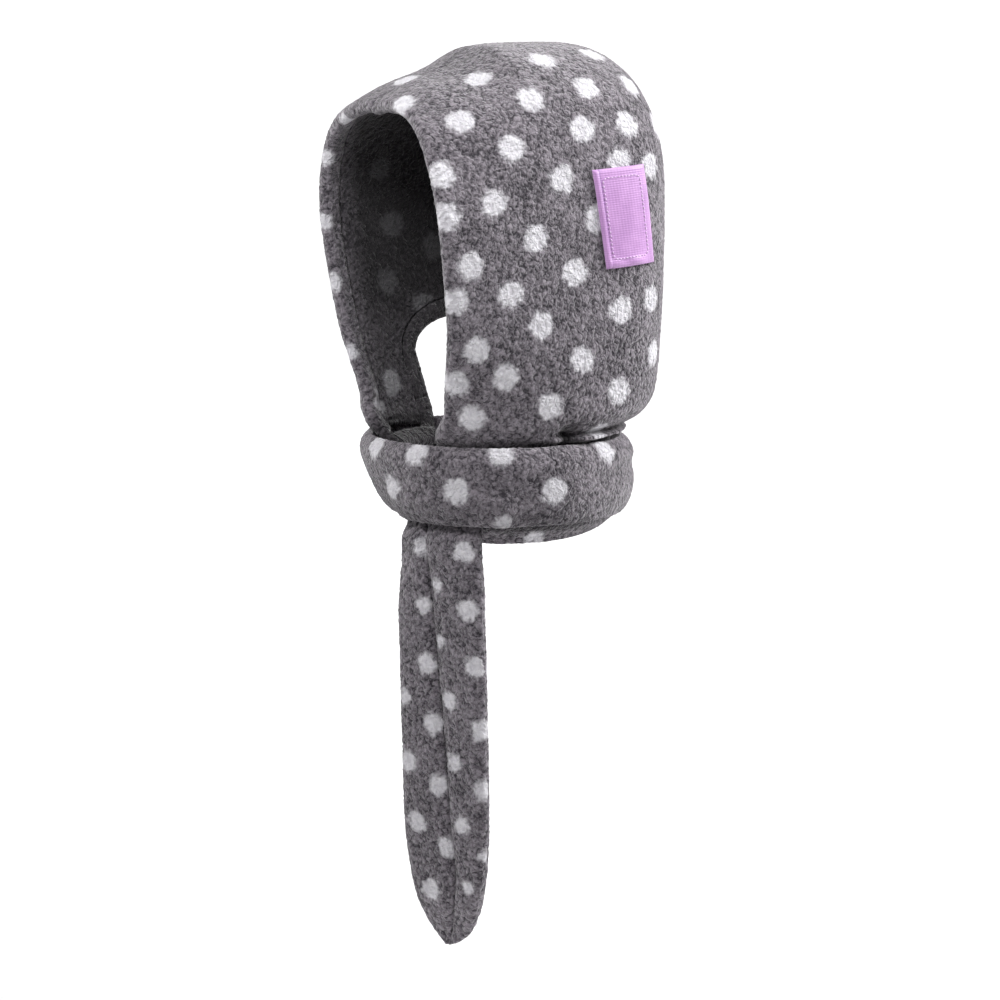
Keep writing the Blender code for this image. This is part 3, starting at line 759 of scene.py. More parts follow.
def fleeceMaterial(name, darker=0.0, look=fleeceLook):
    made, tree, shader = newMaterial(name, Roughness=look["roughness"], Specular_IOR_Level=0.15,
                                     Sheen_Weight=look["sheen"] * (1 - darker), Sheen_Roughness=0.5)
    cloth = addNode(tree, "ShaderNodeAttribute", {"attribute_name": "clothPoint"}).outputs["Vector"]
    tuft, cell = pilePattern(tree, cloth, 1 / pile["tuftSize"], 0.5 / pile["tuftSize"],
                             1 / pile["curlSize"], pile["swirl"], pile["seed"])
    fibre = addNode(tree, "ShaderNodeTexNoise", {
        "Scale": 1 / look["fibreSize"], "Detail": 2.0, "Roughness": 0.7, "Distortion": 0.6,
        "Vector": cloth,
    })
    # tuft by tuft and patch by patch, some of the pile lies lighter and some darker
    chance = addNode(tree, "ShaderNodeSeparateColor", {"Color": cell.outputs["Color"]})
    vary = addNode(tree, "ShaderNodeMapRange", {1: 0.0, 2: 1.0, 3: -0.10, 4: 0.10, 0: chance})
    fuzz = addNode(tree, "ShaderNodeMapRange", {1: 0.25, 2: 0.75, 3: -0.30, 4: 0.30, 0: fibre})
    patch = addNode(tree, "ShaderNodeTexNoise", {
        "Scale": 1 / look["patchSize"], "Detail": 2.0, "Vector": cloth,
    })
    patch = addNode(tree, "ShaderNodeMapRange", {1: 0.3, 2: 0.7, 3: -0.13, 4: 0.13, 0: patch})
    lit = addNode(tree, "ShaderNodeMath", {"operation": "ADD", 0: tuft, 1: vary})
    lit = addNode(tree, "ShaderNodeMath", {"operation": "ADD", 0: lit, 1: patch})
    lit = addNode(tree, "ShaderNodeMath", {"operation": "ADD", "use_clamp": True, 0: lit, 1: fuzz})
    # the printed dots
    away = addNode(tree, "ShaderNodeAttribute", {"attribute_name": "dotAway"}).outputs["Fac"]
    jitter = addNode(tree, "ShaderNodeMapRange", {
        1: 0.0, 2: 1.0, 3: -look["dotJitter"], 4: look["dotJitter"], 0: chance.outputs[1],
    })
    wander = addNode(tree, "ShaderNodeTexNoise", {
        "Scale": 1 / look["dotWander"], "Detail": 2.0, "Vector": cloth,
    })
    wander = addNode(tree, "ShaderNodeMapRange", {
        1: 0.3, 2: 0.7, 3: -look["dotRagged"], 4: look["dotRagged"], 0: wander,
    })
    away = addNode(tree, "ShaderNodeMath", {"operation": "ADD", 0: away, 1: jitter})
    away = addNode(tree, "ShaderNodeMath", {"operation": "ADD", 0: away, 1: wander})
    low, high = look["dotRadius"] - look["dotEdge"], look["dotRadius"] + look["dotEdge"]
    mask = addNode(tree, "ShaderNodeMapRange", {
        "interpolation_type": "SMOOTHSTEP", 1: low, 2: high, 3: 1.0, 4: 0.0, 0: away,
    })
    # darker paints the whole copy of the fleece in shade
    shade = 1 - darker
    ends = [tuple(c * shade for c in linearColour(look[key])[:3]) + (1.0,)
            for key in ("root", "tip", "dotRoot", "dotTip")]
    # each mix runs from the painted shade between the tufts out to the tips, with the pile's own uneven
    # tone added
    plain = addNode(tree, "ShaderNodeMix", {"data_type": "RGBA", 6: ends[0], 7: ends[1], 0: lit})
    white = addNode(tree, "ShaderNodeMix", {"data_type": "RGBA", 6: ends[2], 7: ends[3], 0: lit})
    both = addNode(tree, "ShaderNodeMix", {
        "data_type": "RGBA", 0: mask, 6: plain.outputs[2], 7: white.outputs[2],
    })
    # painted shade: in creases, inside the hood and near the scarf's edges the colour is mixed toward a
    # near-black where shade falls
    hollow = addNode(tree, "ShaderNodeAttribute", {"attribute_name": "hollow"}).outputs["Fac"]
    deep = addNode(tree, "ShaderNodeMath", {
        "operation": "MULTIPLY", 1: 0.9, "use_clamp": True, 0: hollow,
    })
    paintedShadowColour = addNode(tree, "ShaderNodeMix", {
        "data_type": "RGBA", 7: linearColour(look["paintedShadowColour"]), 0: deep, 6: both.outputs[2],
    })
    tree.links.new(paintedShadowColour.outputs[2], shader.inputs["Base Color"])
    tall = addNode(tree, "ShaderNodeMath", {"operation": "MULTIPLY_ADD", 1: 0.45, 0: fibre, 2: tuft})
    relief = addNode(tree, "ShaderNodeBump", {"Strength": 1.0, "Distance": 1.1 * mm, "Height": tall})
    tree.links.new(relief.outputs[0], shader.inputs["Normal"])
    return made


fleece = fleeceMaterial("dotted coral fleece")
# the lining is the same fleece painted darker all over: painted shade for the hood's inside
liningFleece = fleeceMaterial("coral fleece lining in painted shade", darker=0.35)
pileNodes = pileTree()
print("materials ready")


# the hood

hoodCloth = {
    "fanCount": 196,
    "archCount": 340,
    "rollRadius": 4.0 * mm,
    "hemDepth": 7.0 * mm,
    "inset": 0.5 * mm,
    "sideCentre": (5.0 * mm, 110.0 * mm),
    "nearLay": {"stepA": (25 * mm, -20 * mm), "stepB": (16 * mm, 29 * mm)},
    "farLay": {"stepA": (-26 * mm, -21 * mm), "stepB": (-17 * mm, 30 * mm), "start": (9 * mm, 4 * mm)},
    # where the photograph shows the dots of the near side, and of the far side's turned-in rim
    "nearDots": (
        (542, 59), (592, 55), (478, 78), (588, 88), (630, 86), (531, 98), (403, 105), (461, 121),
        (581, 128), (627, 124), (655, 127), (511, 149), (443, 175), (562, 180), (650, 166), (620, 162),
        (494, 204), (437, 217), (596, 220), (536, 237), (470, 266), (575, 273), (510, 294), (450, 303),
        (620, 310), (650, 298), (542, 325), (476, 351), (582, 361), (653, 353), (505, 378), (455, 383),
        (619, 391), (550, 407), (472, 420), (594, 430),
    ),
    "rimDots": ((380, 100, 0.8), (347, 120, 0.75), (328, 158, 0.7), (324, 221, 0.7), (333, 282, 0.7),
                 (350, 352, 0.7), (378, 407, 0.7)),
    "liningDots": (
        (381, 167), (390, 224), (432, 245), (388, 282), (427, 310), (391, 382, 1.15), (380, 407, 0.8),
    ),
    "seamWidth": 3.0 * mm,
    "seamDepth": 1.3 * mm,
    "seamFoot": -200.0 * mm,
    # arches and points on each, sheet by sheet, and how deep each hidden back lies
    "shellBack": (48, 84),
    "shellDepth": 3.6 * mm,
    "liningSkin": (150, 260),
    "liningBack": (40, 72),
    "liningDepth": 4.4 * mm,
    "liningRoll": 1.7 * mm,
    "liningGap": 2.4 * mm,
}
collarShown = list(np.arange(213.5, 233.0, 1.5) * mm)
collarTucked = [236 * mm, 240 * mm, 245 * mm]
sideMap = SideMap(*hoodCloth["sideCentre"])


def rolledSheet(name, skin, back, depth, rollRadius, hem, backDepth, outward, printOn):
    # a closed sheet: dense skin, rolled and turned-in edge, plain back out of sight
    points, quads = skin
    backPoints, backQuads = back
    normals = pointNormals(points, quads)
    backNormals = pointNormals(backPoints, backQuads)
    side = 1.0 if outward else -1.0
    start = np.array([-0.08, hood["rimFootY"], -hood["collarDrop"]])
    loop = boundaryLoop(quads, start, points)
    backLoop = boundaryLoop(backQuads, start, backPoints)
    edge, edgeNormal = points[loop], normals[loop]
    along = smoothLoop(np.roll(edge, -1, axis=0) - np.roll(edge, 1, axis=0), 3)
    outwardOff = smoothLoop(np.cross(along, edgeNormal), 6)
    flatNormal = smoothLoop(edgeNormal, 6)
    base = points - normals * depth
    edgeBase = base[loop]
    rings, spread, shares = [], [], []
    radius = rollRadius
    turns = np.linspace(0, math.pi, 9)[1:]
    for turn in turns:
        centre = edgeBase - side * flatNormal * radius
        rings.append(centre + radius * (side * flatNormal * math.cos(turn) + outwardOff * math.sin(turn)))
        spread.append(edge + outwardOff * radius * turn)
        shares.append(1.0)
    for step in hem:
        rings.append(edgeBase - side * flatNormal * 2 * radius - outwardOff * step)
        spread.append(edge + outwardOff * (radius * math.pi + step))
        shares.append(1.0 if step < hem[-1] else 0.5)
    if hem:
        rings.append(edgeBase - side * flatNormal * (1.2 * radius) - outwardOff * hem[-1])
        spread.append(spread[-1])
        shares.append(0.0)
    allPoints = [base] + rings + [backPoints - backNormals * backDepth]
    # the same points with the rolled edge laid straight on, to print the dots on
    spread = np.concatenate([points] + spread + [backPoints])
    offsets = np.cumsum([0] + [len(p) for p in allPoints])
    share = np.concatenate([np.ones(len(base))] + [np.full(len(loop), s) for s in shares]
                           + [np.zeros(len(backPoints))])
    faces = [tuple(q) for q in quads]
    before = loop
    for i in range(len(rings)):
        after = offsets[i + 1] + np.arange(len(loop))
        faces += list(zip(np.roll(before, -1), before, after, np.roll(after, -1)))
        before = after
    backStart = offsets[-2]
    faces += zipLoops(before, backLoop + backStart, rings[-1] if rings else edgeBase,
                      (backPoints - backNormals * backDepth)[backLoop])
    faces += [tuple(q[::-1]) for q in backQuads + backStart]
    if not outward:
        faces = [tuple(f[::-1]) for f in faces]
    everyPoint = np.concatenate(allPoints)
    angle = np.arctan2(everyPoint[:, 0], neck["y"] - everyPoint[:, 1])
    drop = -everyPoint[:, 2]
    # painted shade just above the scarf, in the crease under the nape's roll and along the near fold
    grip = 0.75 * easeBetween(neck["bandTop"] - 6 * mm, neck["bandTop"] - 1 * mm, drop)
    nape = easeBetween(math.radians(96), math.radians(104), np.abs(angle))
    tuck = 0.5 * nape * np.exp(-(((drop - neck["bandTop"] + hood["napeRollHeight"]) / (2.4 * mm)) ** 2))
    hollow = np.maximum(nearFold(angle, drop) * (drop > hood["collarDrop"]), tuck)
    hollow = np.maximum(hollow, grip * (1 - 0.8 * nape))
    upward = everyPoint[:, 2] + hood["collarDrop"]
    behindRim = everyPoint[:, 1] - hood["rimFootY"] + hood["rimLean"] * upward
    inNeck = easeBetween(218 * mm, 229 * mm, drop)
    if outward:
        # the hem round the side gap and inside the neck is painted darker: painted shade for the hood's
        # own shadow there
        turnedIn = np.zeros(len(everyPoint))
        turnedIn[len(base):backStart] = np.repeat(np.minimum(np.arange(len(rings)) / 7, 1.0), len(loop))
        shaded = np.maximum(0.8 * easeBetween(18 * mm, 34 * mm, behindRim), 0.95 * inNeck)
        hollow = np.maximum(hollow, turnedIn * shaded)
    else:
        # the inside is painted darker the further in it lies and inside the neck, less so near the
        # bottom: painted shade
        lower = 0.30 + 0.70 * easeBetween(-0.20, -0.14, everyPoint[:, 2])
        hollow = np.maximum(0.96 * easeBetween(7 * mm, 28 * mm, behindRim) * lower, 0.9 * inNeck)
    away = printOn(everyPoint[:backStart], points, normals * side, spread)
    return makeMesh(name, everyPoint, faces, pileShare=share, dotAway=away, hollow=hollow)


def hoodSpots(points, shown, normals, chosen, picked, lays, rim=()):
    # one half's dots, listed as places in the picture, and the other half's grid where it keeps clear of
    # them
    flat = sideMap.flatten(points)
    middles = dotPlaces(flat[chosen], shown[chosen], normals[chosen], picked, lays[0])
    spots = np.array([*dotSpots(flat[chosen], points[chosen], middles), *rim])
    middles = dotPlaces(flat[~chosen], shown[~chosen], normals[~chosen], (), lays[1])
    for spot in dotSpots(flat[~chosen], points[~chosen], middles):
        if np.linalg.norm(spots[:, :3] - spot[:3], axis=1).min() > dotRoom["betweenHalves"]:
            spots = np.vstack([spots, spot])
    return spots


def shellPrint(shown, points, normals, spread):
    # the far dots that show lie on the turned-in rim
    rings, shown = shown[len(points):], shown[:len(points)]
    farRing = np.nonzero(rings[:, 0] < 0)[0]
    seen, laid = pictureAt(rings[farRing]), spread[len(points):][farRing]
    rim = [(*laid[np.argmin(np.linalg.norm(seen - (across, down), axis=1))], size)
           for across, down, size in hoodCloth["rimDots"]]
    spots = hoodSpots(points, shown, normals, points[:, 0] > 0, hoodCloth["nearDots"],
                      (hoodCloth["nearLay"], hoodCloth["farLay"]), rim)
    return dotDistance(spread, spots)


def liningPrint(shown, points, normals, spread):
    shown = shown[:len(points)]
    spots = hoodSpots(points, shown, normals, points[:, 0] < 0, hoodCloth["liningDots"],
                      (hoodCloth["farLay"], hoodCloth["nearLay"]))
    return dotDistance(spread, spots)


def dressPile(obj, material):
    old = obj.data
    made = runTree(obj, pileNodes, {"material": material, "tuft height": pile["tuftHeight"]})
    made.name = old.name + " made"
    obj.data = made
    bpy.data.meshes.remove(old)
    print(obj.name + ":", 2 * len(made.polygons), "triangles or fewer")


shellSkin = hoodSheet(hoodCloth["fanCount"], hoodCloth["archCount"], collarShown + collarTucked,
                      hoodCloth["rollRadius"], 0.0)
seam = shellSkin[0][:, 2] > hoodCloth["seamFoot"]
crease = np.exp(-(shellSkin[0][:, 0] / hoodCloth["seamWidth"]) ** 2) * hoodCloth["seamDepth"]
sunk = pointNormals(*shellSkin) * (crease * seam + hoodCloth["inset"])[:, None]
shellSkin = (shellSkin[0] - sunk, shellSkin[1])
shellBack = hoodSheet(*hoodCloth["shellBack"], [220 * mm, 230 * mm, 245 * mm],
                      hoodCloth["rollRadius"], 0.0)
hoodShell = rolledSheet("hoodShell", shellSkin, shellBack, 0.0, hoodCloth["rollRadius"],
                        [2.5 * mm, 5.0 * mm, hoodCloth["hemDepth"]], hoodCloth["shellDepth"],
                        True, shellPrint)
dressPile(hoodShell, fleece)
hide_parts("hood_shell")
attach(hoodShell, "root")

gapInset = hoodCloth["hemDepth"] + hoodCloth["liningGap"]
liningInset = hoodCloth["rollRadius"] + gapInset
liningRows = list(np.arange(214.0, 236.0, 2.0) * mm)
liningSkin = hoodSheet(*hoodCloth["liningSkin"], liningRows, liningInset, gapInset)
liningBack = hoodSheet(*hoodCloth["liningBack"], [220 * mm, 234 * mm], liningInset, gapInset)
hoodLining = rolledSheet("hoodLining", liningSkin, liningBack, hood["wall"] - 0.3 * mm,
                         hoodCloth["liningRoll"], [], hoodCloth["liningDepth"], False, liningPrint)
dressPile(hoodLining, liningFleece)
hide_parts("hood_lining")
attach(hoodLining, "root")


# the two turns of scarf

wraps = {
    "around": 400,
    "outerSteps": 50,
    "innerSteps": 12,
    "napeRound": 9.0 * mm,
    "lay": {"stepA": (51.2 * mm, 0.0), "stepB": (25.6 * mm, 23.0 * mm)},
    "outerDots": (
        (376, 446), (417, 453), (500, 454), (605, 450), (393, 487), (457, 491), (554, 492),
        (503, 523, 0.6),
    ),
    "underDots": ((533, 540),),
}


def tailSwell(angle, drop):
    top = bandBottomDrop - tail["tuck"]
    low = easeBetween(top - 2 * tail["swell"], top - tail["swell"] / 3, drop)
    across = np.abs((angle - tail["angle"] + math.pi) % (2 * math.pi) - math.pi) * neck["radius"]
    return tail["swell"] * low * (1 - easeBetween(0.56 * tail["width"], 0.81 * tail["width"], across))


def outerTurnOutside(angle, drop):
    nape = bumpAt(angle, neck["nape"], math.radians(55))
    crease = (drop - neck["bandTop"] - 0.4 * neck["bandHeight"]) / (0.12 * neck["bandHeight"])
    radius = bandRadiusAt(angle, drop) + 0.6 * tailSwell(angle, drop)
    share = (drop - neck["bandTop"]) / neck["bandHeight"]
    low = np.clip((share - 0.55) / 0.5, 0, 1)
    rounded = wraps["napeRound"] * nape * (1 - np.sqrt(1 - low * low))
    return radius - neck["napeCrease"] * nape * np.exp(-crease * crease) - rounded


def outerTurnInside(angle, drop):
    return bandRadiusAt(angle, drop) - neck["thickness"] + tailSwell(angle, drop)


def underTurnOutside(angle, drop):
    shown = easeBetween(bandBottomDrop, bandBottomDrop + neck["underShows"], drop)
    nape = bumpAt(angle, neck["nape"], math.radians(50))
    drawn = neck["underDraw"] * shown + nape * (1.5 * mm + 5.0 * mm * shown)
    return bandRadiusAt(angle, drop) - neck["thickness"] - neck["seatGap"] - drawn


def underTurnInside(angle, drop):
    return bandRadiusAt(angle, drop) - 2 * neck["thickness"]


def bandTopAt(angle):
    lower = bumpAt(angle, math.radians(160), math.radians(50))
    return neck["bandTop"] + 0.04 * neck["bandHeight"] * lower


def bandBottomAt(angle):
    lift = neck["farFrontLift"] * bumpAt(angle, neck["taperToward"], math.radians(40))
    return bandBottomDrop - lift


def underTopAt(angle):
    return neck["bandTop"] + neck["underTop"] + 0 * angle


def underBottomAt(angle):
    hidden = bumpAt(angle, neck["taperToward"] - math.radians(10), math.radians(45))
    nape = bumpAt(angle, neck["nape"], math.radians(38))
    return bandBottomDrop + neck["underShows"] * (1 - 1.7 * hidden - 0.45 * nape)


def scarfTurn(name, top, bottom, outer, inner, picked):
    # one closed turn of scarf: soft-edged cross-sections round the neck
    angle = np.linspace(0, 2 * math.pi, wraps["around"], endpoint=False)[:, None]
    down = 0.5 - 0.5 * np.cos(np.pi * (np.arange(wraps["outerSteps"]) + 0.5) / wraps["outerSteps"])
    back = 0.5 + 0.5 * np.cos(np.pi * (np.arange(wraps["innerSteps"]) + 0.5) / wraps["innerSteps"])
    share = np.concatenate([down, back])[None, :]
    isOuter = np.concatenate([np.ones(len(down)), np.zeros(len(back))])[None, :]
    full = (1 - np.abs(2 * share - 1) ** 4.5) ** (1 / 2.2)
    drop = top(angle) + (bottom(angle) - top(angle)) * share
    high, low = outer(angle, drop), inner(angle, drop)
    mid, half = (high + low) / 2, (high - low) / 2
    turned = (angle + math.pi) % (2 * math.pi) - math.pi
    leaning = leanAt(turned) * np.clip(1 - (drop - neck["bandTop"]) / (12 * mm), 0, 1) ** 1.7
    radius = mid + np.where(isOuter > 0, 1, -1) * half * full - leaning
    points = neckPoint(angle, radius, drop)
    index = np.arange(points.shape[0] * points.shape[1]).reshape(points.shape[:2])
    nextA, nextB = np.roll(index, -1, axis=0), np.roll(index, -1, axis=1)
    nextAB = np.roll(nextA, -1, axis=1)
    faces = np.stack([index, nextB, nextAB, nextA], axis=-1).reshape(-1, 4)
    steps = np.linalg.norm(np.roll(points, -1, axis=1) - points, axis=2)
    along = np.cumsum(steps, axis=1) - steps
    roundNeck = np.broadcast_to(angle * neck["bandRadius"], along.shape)
    flat = np.stack([roundNeck, -along], axis=-1).reshape(-1, 2)
    carry = np.where(isOuter > 0, 1.0, 0.25) * np.ones_like(along)
    points = points.reshape(-1, 3)
    middles = dotPlaces(flat, points, pointNormals(points, faces), picked, wraps["lay"],
                        2 * math.pi * neck["bandRadius"])
    shown = bandBottomAt(angle) + 1 * mm
    nape = bumpAt(angle, neck["nape"], math.radians(45))
    # painted shade: the under turn darkens where it comes out below the outer turn, and the outer turn
    # darkens towards its lower edge, except at the nape
    if name == "underWrap":
        hollow = 0.9 * (1 - easeBetween(shown + 1 * mm, shown + 6 * mm, drop)) * (1 - nape)
    else:
        hollow = 0.28 * easeBetween(neck["bandTop"] + 12 * mm, shown, drop) * (1 - nape)
    return makeMesh(name, points, faces, pileShare=carry.ravel(), hollow=hollow.ravel(),
                    dotAway=dotDistance(flat, middles))


outerWrap = scarfTurn("outerWrap", bandTopAt, bandBottomAt, outerTurnOutside, outerTurnInside,
                      wraps["outerDots"])
dressPile(outerWrap, fleece)
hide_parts("outer_wrap")
underWrap = scarfTurn("underWrap", underTopAt, underBottomAt, underTurnOutside, underTurnInside,
                      wraps["underDots"])
dressPile(underWrap, fleece)
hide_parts("under_wrap")
for obj in (outerWrap, underWrap):
    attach(obj, "root")


# the hanging end

tailCloth = {
    "rows": 260,
    "around": 84,
    "lay": {"stepA": (0.0, 50.0 * mm), "stepB": (24.0 * mm, 25.0 * mm)},
    "dotSize": 0.80,
    # across and down in the picture, and the size of a smaller dot
    "frontDots": (
        (422, 548, 0.8), (425, 605, 0.8), (427, 664), (406, 696, 0.7), (434, 724), (409, 760), (439, 785),
        (417, 822), (448, 848), (433, 889),
    ),
    "sideDots": (
        (464, 552), (437, 585, 0.6), (468, 611), (441, 642, 0.6), (474, 668), (449, 702, 0.85),
        (481, 730), (454, 762, 0.85), (485, 791), (461, 825, 0.8), (484, 856, 0.5), (468, 887, 0.6),
    ),
}


def tailPoint(place, depth, drop):
    seat = np.minimum(drop, bandBottomDrop)
    laid = tail["angle"] + place / neck["radius"]
    round3 = neckPoint(laid, underTurnOutside(laid, seat) + neck["seatGap"] + depth, drop)
    foot = underTurnOutside(np.array(tail["angle"]), np.array(bandBottomDrop))
    seatRadius = float(foot) + neck["seatGap"]
    x0 = seatRadius * math.sin(tail["angle"])
    y0 = neck["y"] - seatRadius * math.cos(tail["angle"])
    x = x0 + math.cos(tail["facing"]) * place + math.sin(tail["facing"]) * depth
    y = y0 + math.sin(tail["facing"]) * place - math.cos(tail["facing"]) * depth
    flat = easeBetween(bandBottomDrop + neck["underShows"], bandBottomDrop + 5 * neck["underShows"], drop)
    x = round3[..., 0] + (x - round3[..., 0]) * flat
    y = round3[..., 1] + (y - round3[..., 1]) * flat
    return np.stack([x, y, np.broadcast_to(-drop, x.shape)], axis=-1)


def tailPanel(name, isFront, picked):
    top = bandBottomDrop - tail["tuck"]
    u = np.linspace(0, 1, tailCloth["rows"])[:, None]
    share = u + 0.10 * np.sin(np.pi * u) * u
    share = share / share[-1]
    drop = top + (tail["tipDrop"] - top) * share
    left, right, seam = (tableColumn(tail["shape"], share, i) * tail["width"] for i in (1, 2, 3))
    seamAt = -left + seam / tail["width"] * (left + right)
    if isFront:
        low, high, shift = -left, seamAt - tail["lapGap"] / 2, 0.08 * tail["thickness"]
    else:
        low, high, shift = seamAt + tail["lapGap"] / 2, right, 0.0
    shift = shift * easeBetween(0.02, 0.20, 1 - share)
    swell = easeBetween(bandBottomDrop, bandBottomDrop + neck["underShows"], drop)
    tip = easeBetween(0.0, 0.12, 1 - share)
    half = tail["thickness"] / 2 * (0.45 + 0.55 * swell) * (0.45 + 0.55 * tip)
    middle = half + shift * swell * tip
    turn = np.linspace(0, 2 * math.pi, tailCloth["around"], endpoint=False)[None, :]
    side = np.sign(np.cos(turn)) * np.abs(np.cos(turn)) ** 0.62
    rise = np.sign(np.sin(turn)) * np.abs(np.sin(turn)) ** 0.75
    place = (low + high) / 2 + (high - low) / 2 * side
    points = tailPoint(place, middle + half * rise, drop)
    index = np.arange(points.shape[0] * points.shape[1]).reshape(points.shape[:2])
    after = np.roll(index, -1, axis=1)
    faces = np.stack([index[:-1], after[:-1], after[1:], index[1:]], axis=-1).reshape(-1, 4)
    faces = [tuple(f) for f in faces] + [tuple(index[0][::-1]), tuple(index[-1])]
    steps = np.linalg.norm(np.roll(points, -1, axis=1) - points, axis=2)
    along = np.cumsum(steps, axis=1) - steps
    quarter = tailCloth["around"] // 4
    flat = np.stack([along[:, quarter:quarter + 1] - along, np.broadcast_to(-drop, along.shape)], axis=-1)
    flat = flat.reshape(-1, 2)
    normals = pointNormals(points.reshape(-1, 3), np.array(faces[:-2]))
    girth = float(steps[120].sum())
    middles = dotPlaces(flat, points.reshape(-1, 3), normals, picked, tailCloth["lay"], girth)
    # painted shade at the top of the hanging end, where it comes out under the scarf
    hollow = 0.6 * (1 - easeBetween(bandBottomDrop - 1 * mm, bandBottomDrop + 5 * mm, drop)) + 0 * along
    away = dotDistance(flat, middles, tailCloth["dotSize"])
    return makeMesh(name, points.reshape(-1, 3), faces, pileShare=np.ones(len(flat)),
                    hollow=hollow.ravel(), dotAway=away)


tailFront = tailPanel("tailFrontPanel", True, tailCloth["frontDots"])
dressPile(tailFront, fleece)
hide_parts("tail_front_panel")
tailSide = tailPanel("tailSidePanel", False, tailCloth["sideDots"])
dressPile(tailSide, fleece)
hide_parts("tail_side_panel")
for obj in (tailFront, tailSide):
    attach(obj, "root")


# the label

label = {
    "width": 36.0 * mm,
    "height": 57.0 * mm,
    "thickness": 1.0 * mm,
    "centreY": 28.0 * mm,
    "centreDrop": 101.0 * mm,
    "acrossTilt": math.radians(4),
    "upTilt": math.radians(9.5),
    "columns": 72,
    "rows": 114,
    "hem": 3.4 * mm,
    "hemRise": 0.45 * mm,
    "ground": "#cb9bd4",
    "shadow": "#8d5fa0",
    "thread": "#f7e6fb",
    "rib": 1.3 * mm,
    "stitchInset": 5.2 * mm,
    "stitchCorner": 3.0 * mm,
    "stitchLift": 0.20 * mm,
    "stitchPitch": 2.4 * mm,
    "stitchLength": 1.7 * mm,
    "stitchWidth": 0.85 * mm,
}


def labelPoint(across, up, lift):
    y = label["centreY"] + across * math.cos(label["acrossTilt"]) - up * math.sin(label["upTilt"])
    z = -label["centreDrop"] + across * math.sin(label["acrossTilt"]) + up * math.cos(label["upTilt"])
    x = halfWidth(y, z) + neck["seatGap"] + lift
    return np.stack([x, y, z], axis=-1)


def labelLift(across, up):
    # soft edges, a folded hem at the front edge and a slight buckle along the foot
    edge = np.minimum(label["width"] / 2 - np.abs(across), label["height"] / 2 - np.abs(up))
    crown = label["thickness"] * (0.70 + 0.50 * easeBetween(0, 1.6 * mm, edge))
    inward = across + label["width"] / 2
    hem = 1 - easeBetween(label["hem"] - 0.5 * mm, label["hem"] + 0.3 * mm, inward)
    foot = np.exp(-(((up + label["height"] / 2 - 3 * mm) / (2.2 * mm)) ** 2))
    buckle = 0.35 * mm * foot * (1 + np.sin(across / (2.6 * mm))) * easeBetween(0, 1.5 * mm, edge)
    return crown + label["hemRise"] * hem * easeBetween(0, 1.2 * mm, edge) + buckle


def makeLabel():
    i = np.linspace(-0.5, 0.5, label["columns"] + 1)[None, :]
    j = np.linspace(-0.5, 0.5, label["rows"] + 1)[:, None]
    across, up = np.broadcast_arrays(label["width"] * i, label["height"] * j)
    top = labelPoint(across, up, labelLift(across, up))
    under = labelPoint(across, up, 0.0 * across)
    wide = label["columns"] + 1
    count = wide * (label["rows"] + 1)
    index = np.arange(count).reshape(-1, wide)
    quads = gridQuads(index)
    faces = [tuple(q) for q in quads] + [tuple(q[::-1] + count) for q in quads]
    rim = np.concatenate([index[0], index[1:, -1], index[-1, -2::-1], index[-2:0:-1, 0]])
    faces += list(zip(np.roll(rim, -1), rim, rim + count, np.roll(rim, -1) + count))
    points = np.concatenate([top.reshape(-1, 3), under.reshape(-1, 3)])
    # painted shadow in the groove beside the folded hem, fainter towards the foot
    groove = np.exp(-(((across + label["width"] / 2 - label["hem"] - 0.5 * mm) / (0.7 * mm)) ** 2))
    groove = groove * (0.45 + 0.55 * easeBetween(-0.5, 0.3, up / label["height"]))
    hollow = np.concatenate([groove.ravel(), 0 * groove.ravel()])
    return makeMesh("wovenLabel", points, faces, hollow=hollow, labelUp=np.tile(up.ravel(), 2),
                    labelAcross=np.tile(across.ravel(), 2))


